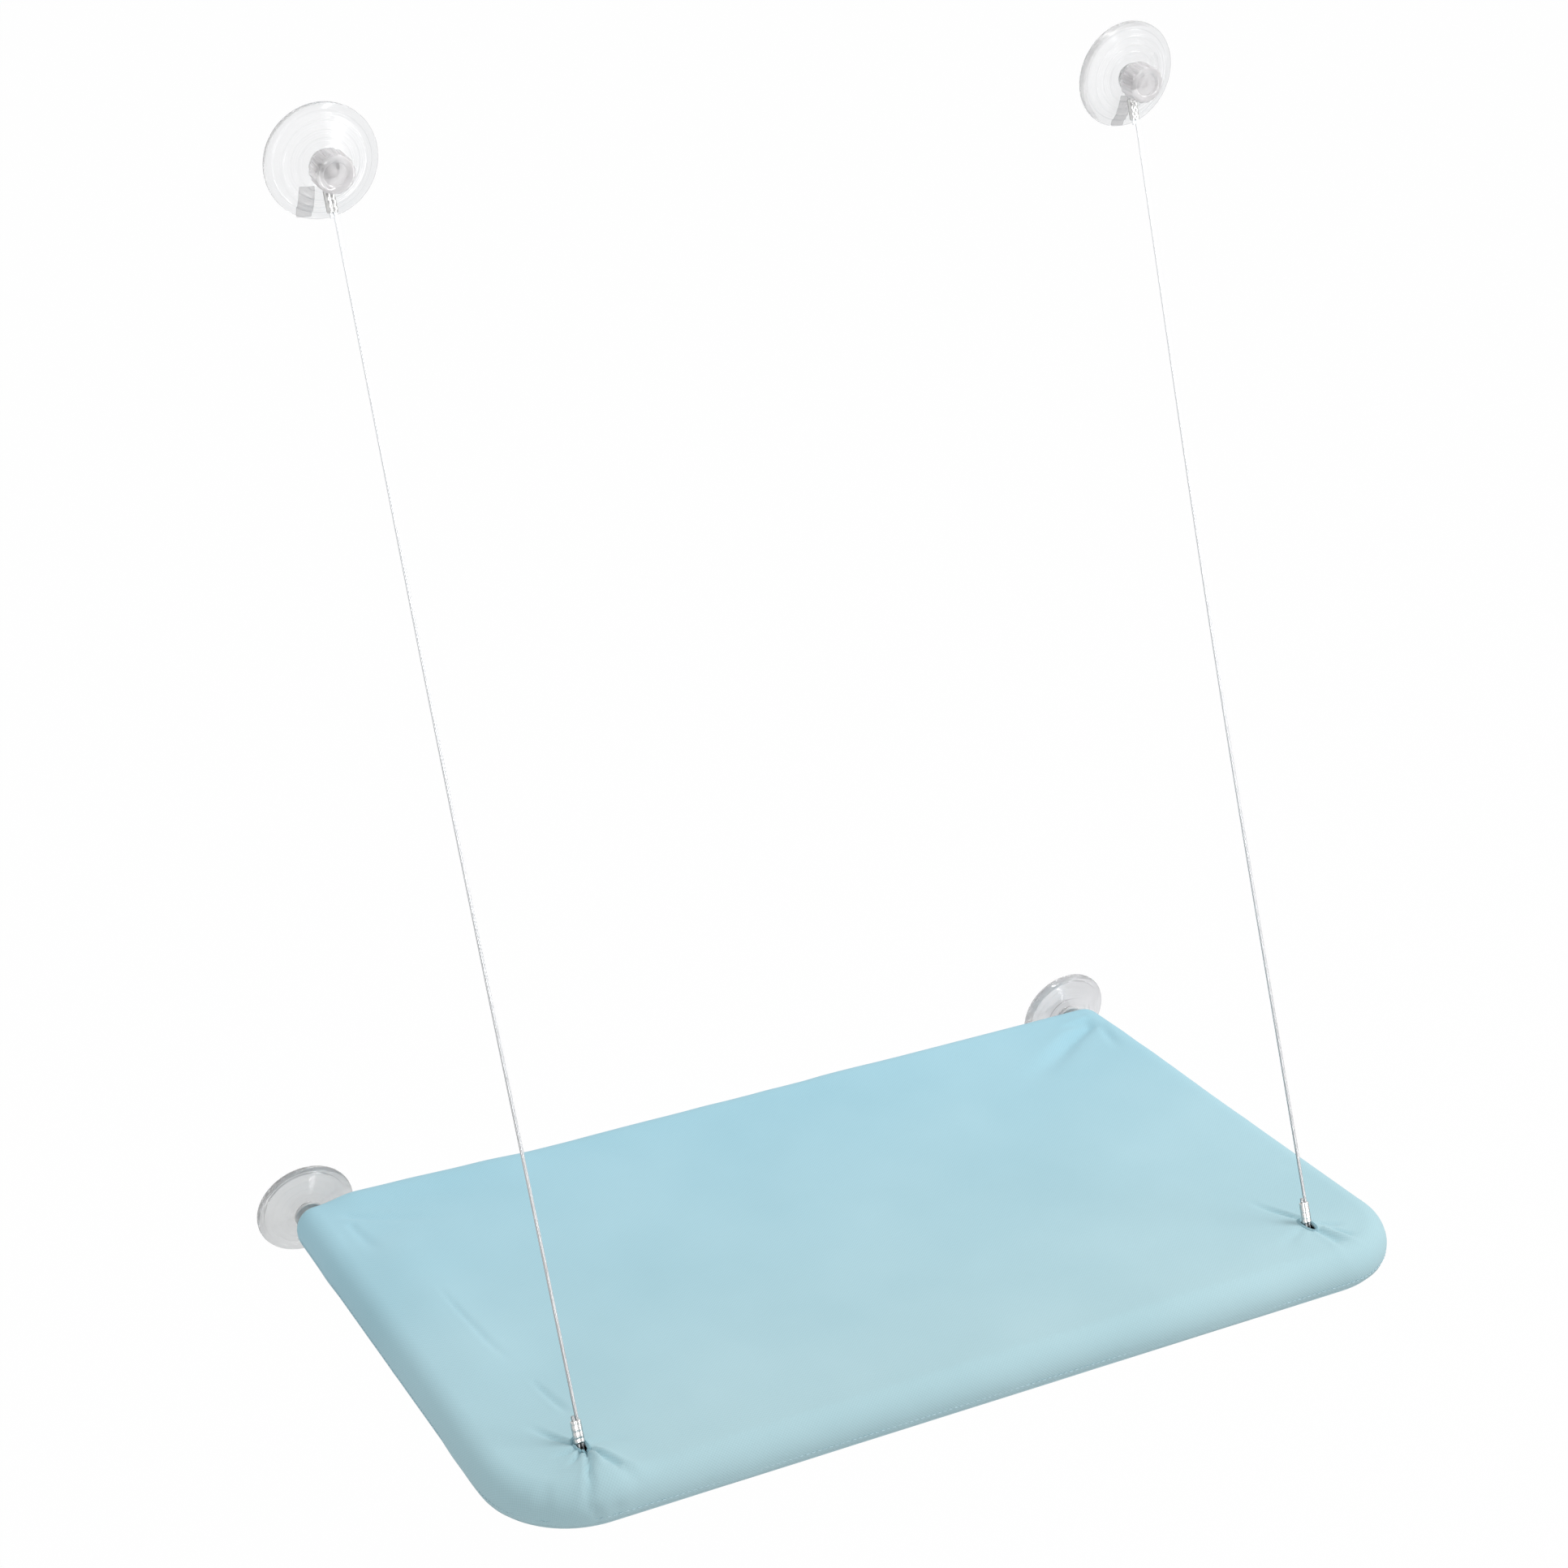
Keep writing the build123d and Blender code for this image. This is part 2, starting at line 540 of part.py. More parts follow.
def slit_binding(side):
    """The stitched edge round one cable slit, lying on the cloth."""
    x, depth, top = slit_place(side)
    length = SLIT_LENGTH + 2 * BINDING_WIDTH
    width = SLIT_WIDTH + 2 * BINDING_WIDTH
    high_side = COVER_OUTER - sag_at(LUG_X + width / 2, depth + length / 2)
    slit = SlotOverall(SLIT_LENGTH, SLIT_WIDTH, rotation=90)
    ring = extrude(SlotOverall(length, width, rotation=90) - slit, BINDING_HEIGHT)
    return Pos(x, -depth, high_side + BINDING_GAP) * ring


def rear_flap():
    """The cloth flap that closes the cover: sewn behind the rear tube, fastened under the bed."""
    drop = 2 * TAPE_THICKNESS
    inner = COVER_OUTER
    outer = COVER_OUTER + CLOTH
    with BuildSketch() as section:
        with BuildLine():
            Polyline((inner, -drop), (inner, FLAP_RISE), (outer, FLAP_RISE), (outer, -drop))
            CenterArc((0, -drop), outer, 0, -90)
            tip = (-FLAP_REACH, -drop - outer)
            Polyline((0, -drop - outer), tip, (-FLAP_REACH, -drop - inner), (0, -drop - inner))
            CenterArc((0, -drop), inner, 0, -90)
        make_face()
    side = Plane(origin=(-FLAP_HALF_LENGTH, 0, 0), x_dir=(0, 1, 0), z_dir=(1, 0, 0))
    return extrude(side * section.sketch, 2 * FLAP_HALF_LENGTH)


def closure_tape(layer):
    """One of the two strips of hook and loop tape between the flap and the lower cloth."""
    top = -COVER_OUTER - layer * TAPE_THICKNESS
    rear = -TAPE_REAR_EDGE
    low = (-TAPE_HALF_LENGTH, rear - TAPE_WIDTH, top - TAPE_THICKNESS)
    return block(low, (TAPE_HALF_LENGTH, rear, top))


def build_parts():
    """Every piece of the perch by its name, in its place."""
    parts = {}
    for name, side in SIDES.items():
        lower = Pos(side * BED_HALF_WIDTH, 0, 0)
        upper = Pos(side * UPPER_CUP_X, 0, CUP_RISE)
        parts["suction_cup_lower_" + name] = lower * to_glass(suction_cup())
        parts["suction_cup_upper_" + name] = upper * to_glass(suction_cup())
        parts["stud_lower_" + name] = lower * to_glass(stud(LOWER_STUD_END))
        parts["stud_upper_" + name] = upper * to_glass(stud(UPPER_STUD_END))
        parts["hex_nut_" + name] = lower * to_glass(hex_nut())
        parts["washer_" + name] = upper * to_glass(washer())
        parts["thumb_nut_" + name] = upper * to_glass(thumb_nut())
        parts["hinge_strap_" + name] = hinge_strap(side * BED_HALF_WIDTH)
        parts["hinge_pin_" + name] = on_bed(hinge_pin(side))
        parts["rear_corner_" + name] = on_bed(rear_corner(side))
        parts["front_corner_" + name] = on_bed(front_corner(side))
        side_start = (side * BED_HALF_WIDTH, -REAR_CORNER_REACH, 0)
        side_end = (side * BED_HALF_WIDTH, -(BED_DEPTH - FRONT_BEND_RADIUS - FRONT_CORNER_REACH), 0)
        parts["side_tube_" + name] = on_bed(frame_tube(side_start, side_end))
        parts["slit_binding_" + name] = on_bed(slit_binding(side))
        ring, bend, lower_ring, up = cable_points(side)
        parts["cable_loop_upper_" + name] = upper_loop(side)
        parts["cable_ferrule_upper_" + name] = ferrule(bend - up * LOOP_TAIL, -up)
        parts["cable_" + name] = cable(side)
        parts["cable_ferrule_lower_" + name] = ferrule(lower_ring + up * LOWER_LOOP_END, up)
        parts["cable_loop_lower_" + name] = lower_loop(side)
    rear_half = BED_HALF_WIDTH - REAR_CORNER_REACH
    front_half = BED_HALF_WIDTH - FRONT_BEND_RADIUS - FRONT_CORNER_REACH
    parts["rear_tube"] = on_bed(frame_tube((-rear_half, 0, 0), (rear_half, 0, 0)))
    parts["front_tube"] = on_bed(frame_tube((-front_half, -BED_DEPTH, 0), (front_half, -BED_DEPTH, 0)))
    parts["cover_top"] = on_bed(cover_top())
    parts["cover_bottom"] = on_bed(cover_bottom())
    parts["cover_rear_flap"] = on_bed(rear_flap())
    parts["closure_loop_tape"] = on_bed(closure_tape(0))
    parts["closure_hook_tape"] = on_bed(closure_tape(1))
    return parts


os.makedirs("parts", exist_ok=True)
for node, shape in build_parts().items():
    export_step(shape, "parts/" + node + ".step")
    print(node, round(shape.volume, 1))
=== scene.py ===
import logging
import math
from dataclasses import dataclass, field
from enum import Enum
from functools import partial
from typing import Iterable, Optional, Sequence

import bmesh
import bpy
import numpy as np
from bpy.types import Material, Mesh, Node, NodeSocket, NodeTree, Object
from mathutils import Matrix, Vector, noise
from mathutils.geometry import delaunay_2d_cdt


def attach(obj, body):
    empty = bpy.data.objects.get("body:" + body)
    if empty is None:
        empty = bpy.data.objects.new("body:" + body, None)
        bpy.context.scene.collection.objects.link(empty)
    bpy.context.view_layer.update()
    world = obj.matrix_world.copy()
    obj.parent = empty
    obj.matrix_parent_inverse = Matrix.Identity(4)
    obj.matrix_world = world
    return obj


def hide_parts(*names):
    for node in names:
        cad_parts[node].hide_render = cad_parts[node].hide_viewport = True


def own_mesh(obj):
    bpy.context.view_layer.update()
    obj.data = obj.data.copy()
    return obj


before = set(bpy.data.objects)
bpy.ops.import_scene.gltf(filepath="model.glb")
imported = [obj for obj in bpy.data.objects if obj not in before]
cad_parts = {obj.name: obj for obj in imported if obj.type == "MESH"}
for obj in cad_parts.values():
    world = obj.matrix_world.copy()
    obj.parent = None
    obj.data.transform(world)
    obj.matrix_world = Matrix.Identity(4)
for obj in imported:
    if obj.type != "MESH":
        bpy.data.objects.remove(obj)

log = logging.getLogger("cat_perch")

# The glass is the plane y = 0, the room lies towards -Y and +Z is up. Sizes are in millimetres
# until a mesh is made, and every piece has its place in its mesh.
MM = 0.001
# points nearer each other than this, in millimetres, become one
MERGE = 0.004
# the axes of the upper cups on the glass, across and up
UPPER_X, UPPER_Z = 236.5, 646.0


class Side(Enum):
    """The two sides of the perch, seen from the room."""

    LEFT = -1
    RIGHT = 1

    @property
    def label(self) -> str:
        """The side's name as the nodes spell it."""
        return self.name.lower()


class Carrier(str, Enum):
    """What a piece moves with."""

    GLASS = "window_side"
    BED = "bed"
    NUT_LEFT = "thumb_nut_left_body"
    NUT_RIGHT = "thumb_nut_right_body"


class Slot(str, Enum):
    """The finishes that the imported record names."""

    CUP = "clear_cup"
    KNOB = "clear_knob"
    STEEL = "steel"
    WIRE = "cable_wire"
    FERRULE = "ferrule"
    TUBE = "frame_tube"
    CORNER = "corner_plastic"
    CLOTH = "cover_cloth"
    BINDING = "binding"
    TAPE = "tape"


def linear(hex_colour: str) -> tuple[float, float, float, float]:
    """Turns an sRGB hex colour into the linear colour that the shaders work in.

    Args:
        hex_colour: A colour such as "#B2D6E0".

    Returns:
        Red, green, blue and full opacity, linear.
    """
    values = [int(hex_colour[i:i + 2], 16) / 255 for i in (1, 3, 5)]
    red, green, blue = [v / 12.92 if v <= 0.04045 else ((v + 0.055) / 1.055) ** 2.4 for v in values]
    return red, green, blue, 1.0


def add_node(tree: NodeTree, kind: str, inputs: Optional[dict] = None, **settings) -> Node:
    """Adds one node to a tree, with its settings, values and links.

    Args:
        tree: The material's or modifier's tree.
        kind: Blender's name of the node's type.
        inputs: Values and links, as feed takes them.
        **settings: Properties of the node itself.

    Returns:
        The new node.
    """
    node = tree.nodes.new(kind)
    for key, value in settings.items():
        setattr(node, key, value)
    feed(tree, node, inputs or {})
    return node


def feed(tree: NodeTree, node: Node, inputs: dict) -> None:
    """Gives a node values and links.

    Args:
        tree: The tree that holds the node.
        node: The node to feed.
        inputs: Sockets by name or number, each with a value, the output that feeds it, or the node whose
            first output does.
    """
    for key, value in inputs.items():
        if isinstance(value, Node):
            value = value.outputs[0]
        if isinstance(value, NodeSocket):
            tree.links.new(value, node.inputs[key])
        else:
            node.inputs[key].default_value = value


@dataclass(frozen=True)
class Finish:
    """What every material starts from; each kind adds its own pattern.

    The finish is made once and shared by all the pieces that have it.
    """

    name: str
    colour: str
    roughness: float

    def material(self) -> Material:
        """Makes the finish's material on first use.

        Returns:
            The material.
        """
        made = bpy.data.materials.get(self.name)
        if made is None:
            made = bpy.data.materials.new(self.name)
            made.use_nodes = True
            tree = made.node_tree
            tree.nodes.clear()
            plain = {"Base Color": linear(self.colour), "Roughness": self.roughness}
            shader = add_node(tree, "ShaderNodeBsdfPrincipled", plain)
            add_node(tree, "ShaderNodeOutputMaterial", {"Surface": shader})
            self.pattern(tree, shader)
        return made

    def pattern(self, tree: NodeTree, shader: Node) -> None:
        """Adds the finish's own nodes. The plain finish has none."""


@dataclass(frozen=True)
class WovenPolyester(Finish):
    """Water-repellent plain-woven polyester, as on outdoor cushions.

    To the eye: a matt, even blue with a soft bloom at grazing angles, threads that show only close
    up, and faint broad patches where the cloth lies looser.
    """

    # the real threads lie 0.3 mm apart; they are drawn 0.9 mm apart so that they show at all
    thread_spacing: float = 0.9
    thread_relief: float = 0.16
    deep: str = "#9CC6D1"
    pale: str = "#B9DCE5"
    window_side: str = "#A9DAEB"
    room_side: str = "#B7D8DF"
    paler_over: float = 330.0

    def pattern(self, tree: NodeTree, shader: Node) -> None:
        """Adds the weave with painted shade in its gaps, the broad patches and the bloom.

        Args:
            tree: The material's tree.
            shader: Its main shader.
        """
        add = partial(add_node, tree)
        where = add("ShaderNodeUVMap", uv_map="cut")
        turned = math.pi / (self.thread_spacing * MM)
        waves = add("ShaderNodeVectorMath", {0: where, 1: (turned,) * 3}, operation="MULTIPLY")
        sines = add("ShaderNodeVectorMath", {0: waves}, operation="SINE")
        parts = add("ShaderNodeSeparateXYZ", {0: sines})
        over = add("ShaderNodeMath", {0: parts, 1: parts.outputs[1]}, operation="MULTIPLY")
        thread = add("ShaderNodeMath", {0: over, 1: 0.5, 2: 0.5}, operation="MULTIPLY_ADD")
        slub = add("ShaderNodeTexNoise", {"Vector": where, "Scale": 260.0, "Detail": 3.0})
        relief = add("ShaderNodeMath", {0: slub, 1: 0.8, 2: thread}, operation="MULTIPLY_ADD")
        bump = add("ShaderNodeBump", {"Height": relief, "Strength": 0.35, "Distance": self.thread_relief * MM})
        broad = add("ShaderNodeTexNoise", {"Vector": where, "Scale": 9.0, "Detail": 4.0, "Roughness": 0.45})
        patches = add("ShaderNodeValToRGB", {"Fac": broad})
        patches.color_ramp.elements[0].position = 0.3
        patches.color_ramp.elements[0].color = linear(self.deep)
        patches.color_ramp.elements[1].position = 0.7
        patches.color_ramp.elements[1].color = linear(self.pale)
        across = add("ShaderNodeSeparateXYZ", {0: where})
        # the blue grows paler towards the room
        roomward_share = add("ShaderNodeMapRange", {"Value": across.outputs["Y"], "From Max": self.paler_over * MM})
        graded_blue = add("ShaderNodeMix", {"Factor": roomward_share, "A": linear(self.window_side),
                                      "B": linear(self.room_side)}, data_type="RGBA")
        even = add("ShaderNodeMix", {"Factor": 0.3, "A": graded_blue.outputs["Result"], "B": patches}, data_type="RGBA")
        # painted shade in the gaps between threads and painted light on their crowns
        gap_shade = add("ShaderNodeMapRange", {"Value": thread, "To Min": 0.93, "To Max": 1.03})
        shade = add("ShaderNodeVectorMath", {0: even.outputs["Result"], "Scale": gap_shade}, operation="SCALE")
        feed(tree, shader, {"Base Color": shade, "Normal": bump, "Sheen Weight": 0.12, "Sheen Roughness": 0.5})


@dataclass(frozen=True)
class ClearVinyl(Finish):
    """Soft clear vinyl, moulded, with grey painted on at grazing angles: painted shade for the darker refraction
    along rims and steps.

    To the eye: see-through on the flat, grey along rims and steps, with soft bright streaks.
    """

    # the colour painted on where the surface turns away from the view: painted shade along rims and steps
    edge: str = "#A4A8AC"
    clearness: float = 0.9
    index: float = 1.5
    ripple: float = 0.05
    flat_cover: float = 0.35
    edge_cover: float = 0.85

    def pattern(self, tree: NodeTree, shader: Node) -> None:
        """Adds the grey painted on at grazing angles, as painted shade, and the slight ripple of the mould.

        Args:
            tree: The material's tree.
            shader: Its main shader.
        """
        add = partial(add_node, tree)
        where = add("ShaderNodeTexCoord")
        facing = add("ShaderNodeLayerWeight", {"Blend": 0.35})
        # painted shade: the colour turns grey as the surface turns away from the view
        tint = add("ShaderNodeMix", {"Factor": facing.outputs["Facing"], "A": linear(self.colour),
                                     "B": linear(self.edge)}, data_type="RGBA")
        swirl = add("ShaderNodeTexNoise", {"Vector": where.outputs["Object"], "Scale": 120.0, "Detail": 2.0})
        bump = add("ShaderNodeBump", {"Height": swirl, "Strength": 0.3, "Distance": self.ripple * MM})
        rough = add("ShaderNodeMapRange", {"Value": swirl, "To Min": self.roughness * 0.7,
                                           "To Max": self.roughness * 1.4})
        cover = add("ShaderNodeMapRange", {"Value": facing.outputs["Facing"], "To Min": self.flat_cover,
                                           "To Max": self.edge_cover})
        feed(tree, shader, {"Base Color": tint.outputs["Result"], "Normal": bump, "Roughness": rough,
                            "Alpha": cover, "Transmission Weight": self.clearness, "IOR": self.index})


@dataclass(frozen=True)
class BareMetal(Finish):
    """Bare or plated metal; the grain is the drawn or pressed surface's.

    To the eye: a grey with soft reflections, a little duller in patches.
    """

    # grain of the tumbled surface, drawn at 2 mm so that the patches show
    grain: float = 2.0
    dull: str = "#8C9094"

    def pattern(self, tree: NodeTree, shader: Node) -> None:
        """Adds dull patches and a fine uneven surface.

        Args:
            tree: The material's tree.
            shader: Its main shader.
        """
        add = partial(add_node, tree)
        where = add("ShaderNodeTexCoord")
        grain = add("ShaderNodeTexNoise", {"Vector": where.outputs["Object"], "Scale": 1 / (self.grain * MM),
                                           "Detail": 5.0})
        tint = add("ShaderNodeMix", {"Factor": grain, "A": linear(self.colour), "B": linear(self.dull)},
                   data_type="RGBA")
        rough = add("ShaderNodeMapRange", {"Value": grain, "To Min": self.roughness * 0.8,
                                           "To Max": self.roughness * 1.3})
        bump = add("ShaderNodeBump", {"Height": grain, "Strength": 0.2, "Distance": 0.02 * MM})
        feed(tree, shader, {"Base Color": tint.outputs["Result"], "Roughness": rough, "Normal": bump,
                            "Metallic": 1.0})


@dataclass(frozen=True)
class ThreadedSteel(BareMetal):
    """Zinc-plated steel with a rolled thread along the glass's normal.

    To the eye: fine bright rings on the studs, seen through the clear nuts.
    """

    pitch: float = 0.8

    def pattern(self, tree: NodeTree, shader: Node) -> None:
        """Adds the thread to the plated surface.

        Args:
            tree: The material's tree.
            shader: Its main shader.
        """
        super().pattern(tree, shader)
        add = partial(add_node, tree)
        where = add("ShaderNodeTexCoord")
        parts = add("ShaderNodeSeparateXYZ", {0: where.outputs["Object"]})
        turns = add("ShaderNodeMath", {0: parts.outputs["Y"], 1: 2 * math.pi / (self.pitch * MM)},
                    operation="MULTIPLY")
        crest = add("ShaderNodeMath", {0: turns}, operation="SINE")
        bump = add("ShaderNodeBump", {"Height": crest, "Strength": 0.8, "Distance": 0.25 * MM})
        feed(tree, shader, {"Normal": bump})


@dataclass(frozen=True)
class DrawnWire(BareMetal):
    """Galvanised wire, drawn and twisted, darker towards its lower end.

    To the eye: a bright fine line near the top that turns grey towards the cloth.
    """

    # heights on the cable, in metres, between which it grows darker downwards
    darker_below: float = 0.1
    bright_above: float = 0.62
    film: float = 0.5

    def pattern(self, tree: NodeTree, shader: Node) -> None:
        """Darkens the drawn metal towards the bottom.

        Args:
            tree: The material's tree.
            shader: Its main shader.
        """
        super().pattern(tree, shader)
        add = partial(add_node, tree)
        where = add("ShaderNodeTexCoord")
        parts = add("ShaderNodeSeparateXYZ", {0: where.outputs["Object"]})
        # darker towards the bottom, by height
        height_level = add("ShaderNodeMapRange", {"Value": parts.outputs["Z"], "From Min": self.darker_below,
                                           "From Max": self.bright_above, "To Min": self.film})
        metal = shader.inputs["Base Color"].links[0].from_socket
        shade = add("ShaderNodeVectorMath", {0: metal, "Scale": height_level}, operation="SCALE")
        feed(tree, shader, {"Base Color": shade})


@dataclass(frozen=True)
class MouldedPlastic(Finish):
    """Moulded or coated surface with the fine orange skin of the mould or the powder.

    To the eye: an even colour with a broken, satin gloss.
    """

    skin: float = 0.6
    relief: float = 0.03

    def pattern(self, tree: NodeTree, shader: Node) -> None:
        """Adds the orange skin and a slight unevenness of the gloss.

        Args:
            tree: The material's tree.
            shader: Its main shader.
        """
        add = partial(add_node, tree)
        where = add("ShaderNodeTexCoord")
        cells = add("ShaderNodeTexVoronoi", {"Vector": where.outputs["Object"], "Scale": 1 / (self.skin * MM)},
                    feature="SMOOTH_F1")
        bump = add("ShaderNodeBump", {"Height": cells, "Strength": 0.3, "Distance": self.relief * MM})
        cloud = add("ShaderNodeTexNoise", {"Vector": where.outputs["Object"], "Scale": 60.0, "Detail": 3.0})
        rough = add("ShaderNodeMapRange", {"Value": cloud, "To Min": self.roughness * 0.85,
                                           "To Max": self.roughness * 1.2})
        feed(tree, shader, {"Normal": bump, "Roughness": rough})


@dataclass(frozen=True)
class NylonPile(Finish):
    """Nylon tape or thread: short hooks, loops or twisted yarn.

    To the eye: a matt surface broken into small tufts.
    """

    tuft: float = 1.4
    relief: float = 0.4

    def pattern(self, tree: NodeTree, shader: Node) -> None:
        """Adds the tufts as relief, with painted light on their middles and painted shade between them.

        Args:
            tree: The material's tree.
            shader: Its main shader.
        """
        add = partial(add_node, tree)
        where = add("ShaderNodeTexCoord")
        tufts = add("ShaderNodeTexVoronoi", {"Vector": where.outputs["Object"], "Scale": 1 / (self.tuft * MM)})
        bump = add("ShaderNodeBump", {"Height": tufts, "Strength": 0.6, "Distance": self.relief * MM})
        # painted light in the middle of each tuft and painted shade between tufts
        depth = add("ShaderNodeMapRange", {"Value": tufts, "To Min": 1.05, "To Max": 0.8})
        shade = add("ShaderNodeVectorMath", {0: linear(self.colour)[:3], "Scale": depth}, operation="SCALE")
        feed(tree, shader, {"Base Color": shade, "Normal": bump})


# The cloth's blue pales towards the room; the clear cups show as grey rings, painted shade by the viewing angle, with
# white streaks.
CLOTH = WovenPolyester("woven_polyester", "#B2D8E2", 0.85)
CUP_VINYL = ClearVinyl("clear_vinyl", "#F0F1F3", 0.12, edge="#8C9094", flat_cover=0.4, edge_cover=0.95)
# The lower cups sit behind the cloth and hold its weight: the same vinyl, painted greyer, which lets less of the
# background through. The grey is painted shade for cups under the bed and against its shaded cloth. The left one is
# the greyer.
SHADED_LOWER_LEFT_VINYL = ClearVinyl("worn_clear_vinyl", "#CFD1D2", 0.07, edge="#BFC2C4", flat_cover=0.76, edge_cover=1.0)
SHADED_LOWER_RIGHT_VINYL = ClearVinyl("rubbed_clear_vinyl", "#DFE0E3", 0.08, edge="#C6C8CE", flat_cover=0.62, edge_cover=1.0)
# The release tabs are moulded with a smoke tint: a grey strip that shows through the clear cup.
TAB_VINYL = ClearVinyl("smoked_vinyl", "#D2D0D1", 0.2, edge="#AAA8AA", clearness=0.6)
# Hard clear styrene, moulded: glossy and almost white, with painted shade in grey where its ribs turn away from the
# view.
NUT_STYRENE = ClearVinyl("clear_styrene", "#FBF8F9", 0.08, edge="#E4E1E3", clearness=0.3, index=1.58, ripple=0.02,
                         flat_cover=0.5, edge_cover=0.85)
# Zinc plate is a soft blue-white grey, and duller on pressed parts than on turned ones.
ZINC_STEEL = BareMetal("zinc_plated_steel", "#ECEDED", 0.55, dull="#C8CACB")
STUD_STEEL = ThreadedSteel("threaded_zinc_steel", "#EEEEED", 0.4, dull="#C2C4C6")
# Drawn wire stays bright between its strands; the sleeves are nickel-plated copper, warmer and shinier.
CABLE_STEEL = DrawnWire("galvanised_steel_wire", "#F4F5F6", 0.35, dull="#DCDFE2")
SLEEVE_NICKEL = BareMetal("nickel_plated_copper", "#E0E0DF", 0.25, dull="#ACACAB")
# Under the cloth: powder coat with a fine orange skin, and black nylon straight from the mould.
TUBE_POWDER = MouldedPlastic("white_powder_coat", "#E4E6E6", 0.45)
CORNER_NYLON = MouldedPlastic("black_moulded_nylon", "#26282A", 0.5)
# Threads and tapes are a shade away from the cloth, matt and tufted.
EDGE_THREAD = NylonPile("whipping_thread", "#9CC3CE", 0.8, tuft=0.7, relief=0.2)
SEAM_THREAD = NylonPile("sewing_thread", "#C4E0E8", 0.75, tuft=0.7, relief=0.15)
LOOP_PILE = NylonPile("loop_tape_pile", "#C9DFE6", 0.9)
HOOK_PILE = NylonPile("hook_tape_pile", "#D7E6EA", 0.6)


def mesh_of(name: str, points: np.ndarray, faces: Iterable[Sequence[int]] = (),
            edges: Iterable[Sequence[int]] = ()) -> Mesh:
    """Makes a mesh from points in millimetres.

    Args:
        name: The mesh's name.
        points: One row of x, y and z for each point.
        faces: Each face as the numbers of its points.
        edges: Each loose edge as the numbers of its two points.

    Returns:
        The mesh, in metres.
    """
    mesh = bpy.data.meshes.new(name)
    mesh.from_pydata((np.asarray(points, float) * MM).tolist(), list(edges), list(faces))
    return mesh


def put(name: str, data: bpy.types.ID) -> Object:
    """Puts an object into the scene, at the origin.

    Args:
        name: The object's name.
        data: Its mesh, camera or lamp.

    Returns:
        The object.
    """
    thing = bpy.data.objects.new(name, data)
    bpy.context.scene.collection.objects.link(thing)
    return thing


def close_up(mesh: Mesh, sharp_deg: float, slivers: bool = True) -> None:
    """Merges a mesh's double points, turns its faces outwards and keeps its sharp edges crisp.

    Args:
        mesh: A closed mesh.
        sharp_deg: Edges that turn by more than this stay crisp.
        slivers: True if faces with no area are to go as well.
    """
    work = bmesh.new()
    work.from_mesh(mesh)
    bmesh.ops.remove_doubles(work, verts=work.verts, dist=MERGE * MM)
    if slivers:
        bmesh.ops.dissolve_degenerate(work, edges=work.edges, dist=MERGE / 2 * MM)
    bmesh.ops.recalc_face_normals(work, faces=work.faces)
    work.to_mesh(mesh)
    work.free()
    mesh.shade_smooth()
    mesh.set_sharp_from_angle(angle=math.radians(sharp_deg))


def rig_mesh(name: str, points: np.ndarray, faces: list[list[int]], finish: Finish,
             sharp_deg: float = 40.0) -> Object:
    """Makes a closed piece from points in millimetres.

    Args:
        name: The piece's name.
        points: One row of x, y and z for each point.
        faces: Each face as the numbers of its points.
        finish: The piece's finish.
        sharp_deg: Edges that turn by more than this stay crisp.

    Returns:
        The new object, at the origin.
    """
    mesh = mesh_of(name, points, faces)
    close_up(mesh, sharp_deg, slivers=False)
    mesh.materials.append(finish.material())
    return put(name, mesh)


def quads(rows: int, cols: int, loop_rows: bool = False, loop_cols: bool = False) -> list[list[int]]:
    """Joins a grid of points, numbered row by row, with four-sided faces.

    Args:
        rows: How many rows there are.
        cols: How many points a row has.
        loop_rows: True if the last row joins the first.
        loop_cols: True if each row's last point joins its first.

    Returns:
        The faces.
    """
    faces = []
    for i in range(rows if loop_rows else rows - 1):
        a, b = i * cols, (i + 1) % rows * cols
        for k in range(cols if loop_cols else cols - 1):
            n = (k + 1) % cols
            faces.append([a + k, a + n, b + n, b + k])
    return faces


def slab(rows: int, cols: int) -> list[list[int]]:
    """Joins two equal grids of points into a closed slab.

    Args:
        rows: How many rows each grid has.
        cols: How many points a row has.

    Returns:
        The faces; the points of the lower grid are numbered after those of the upper one.
    """
    count, top = rows * cols, quads(rows, cols)
    low = [[count + n for n in reversed(face)] for face in top]
    rim = list(range(cols)) + [i * cols + cols - 1 for i in range(1, rows)]
    rim += [count - 1 - k for k in range(1, cols)] + [i * cols for i in reversed(range(1, rows - 1))]
    return top + low + [[a, count + a, count + b, b] for a, b in zip(rim, rim[1:] + rim[:1])]


def lathe(profile: Sequence[tuple[float, float]], segments: int) -> tuple[np.ndarray, list[list[int]]]:
    """Turns a half section about Z.

    Args:
        profile: Radius and height of each point along the section, from axis to axis.
        segments: How many steps make a full turn.

    Returns:
        The points, in millimetres, and the faces.
    """
    angles = np.arange(segments) * 2 * math.pi / segments
    rings = [np.stack([r * np.cos(angles), r * np.sin(angles), np.full(segments, h)], 1) for r, h in profile]
    return np.concatenate(rings), quads(len(profile), segments, loop_cols=True)


def out_of_glass(points: np.ndarray, x: float, z: float) -> np.ndarray:
    """Stands points drawn with their axis up Z out of the glass, about the place x, z."""
    return np.stack([points[:, 0] + x, -points[:, 2], points[:, 1] + z], 1)


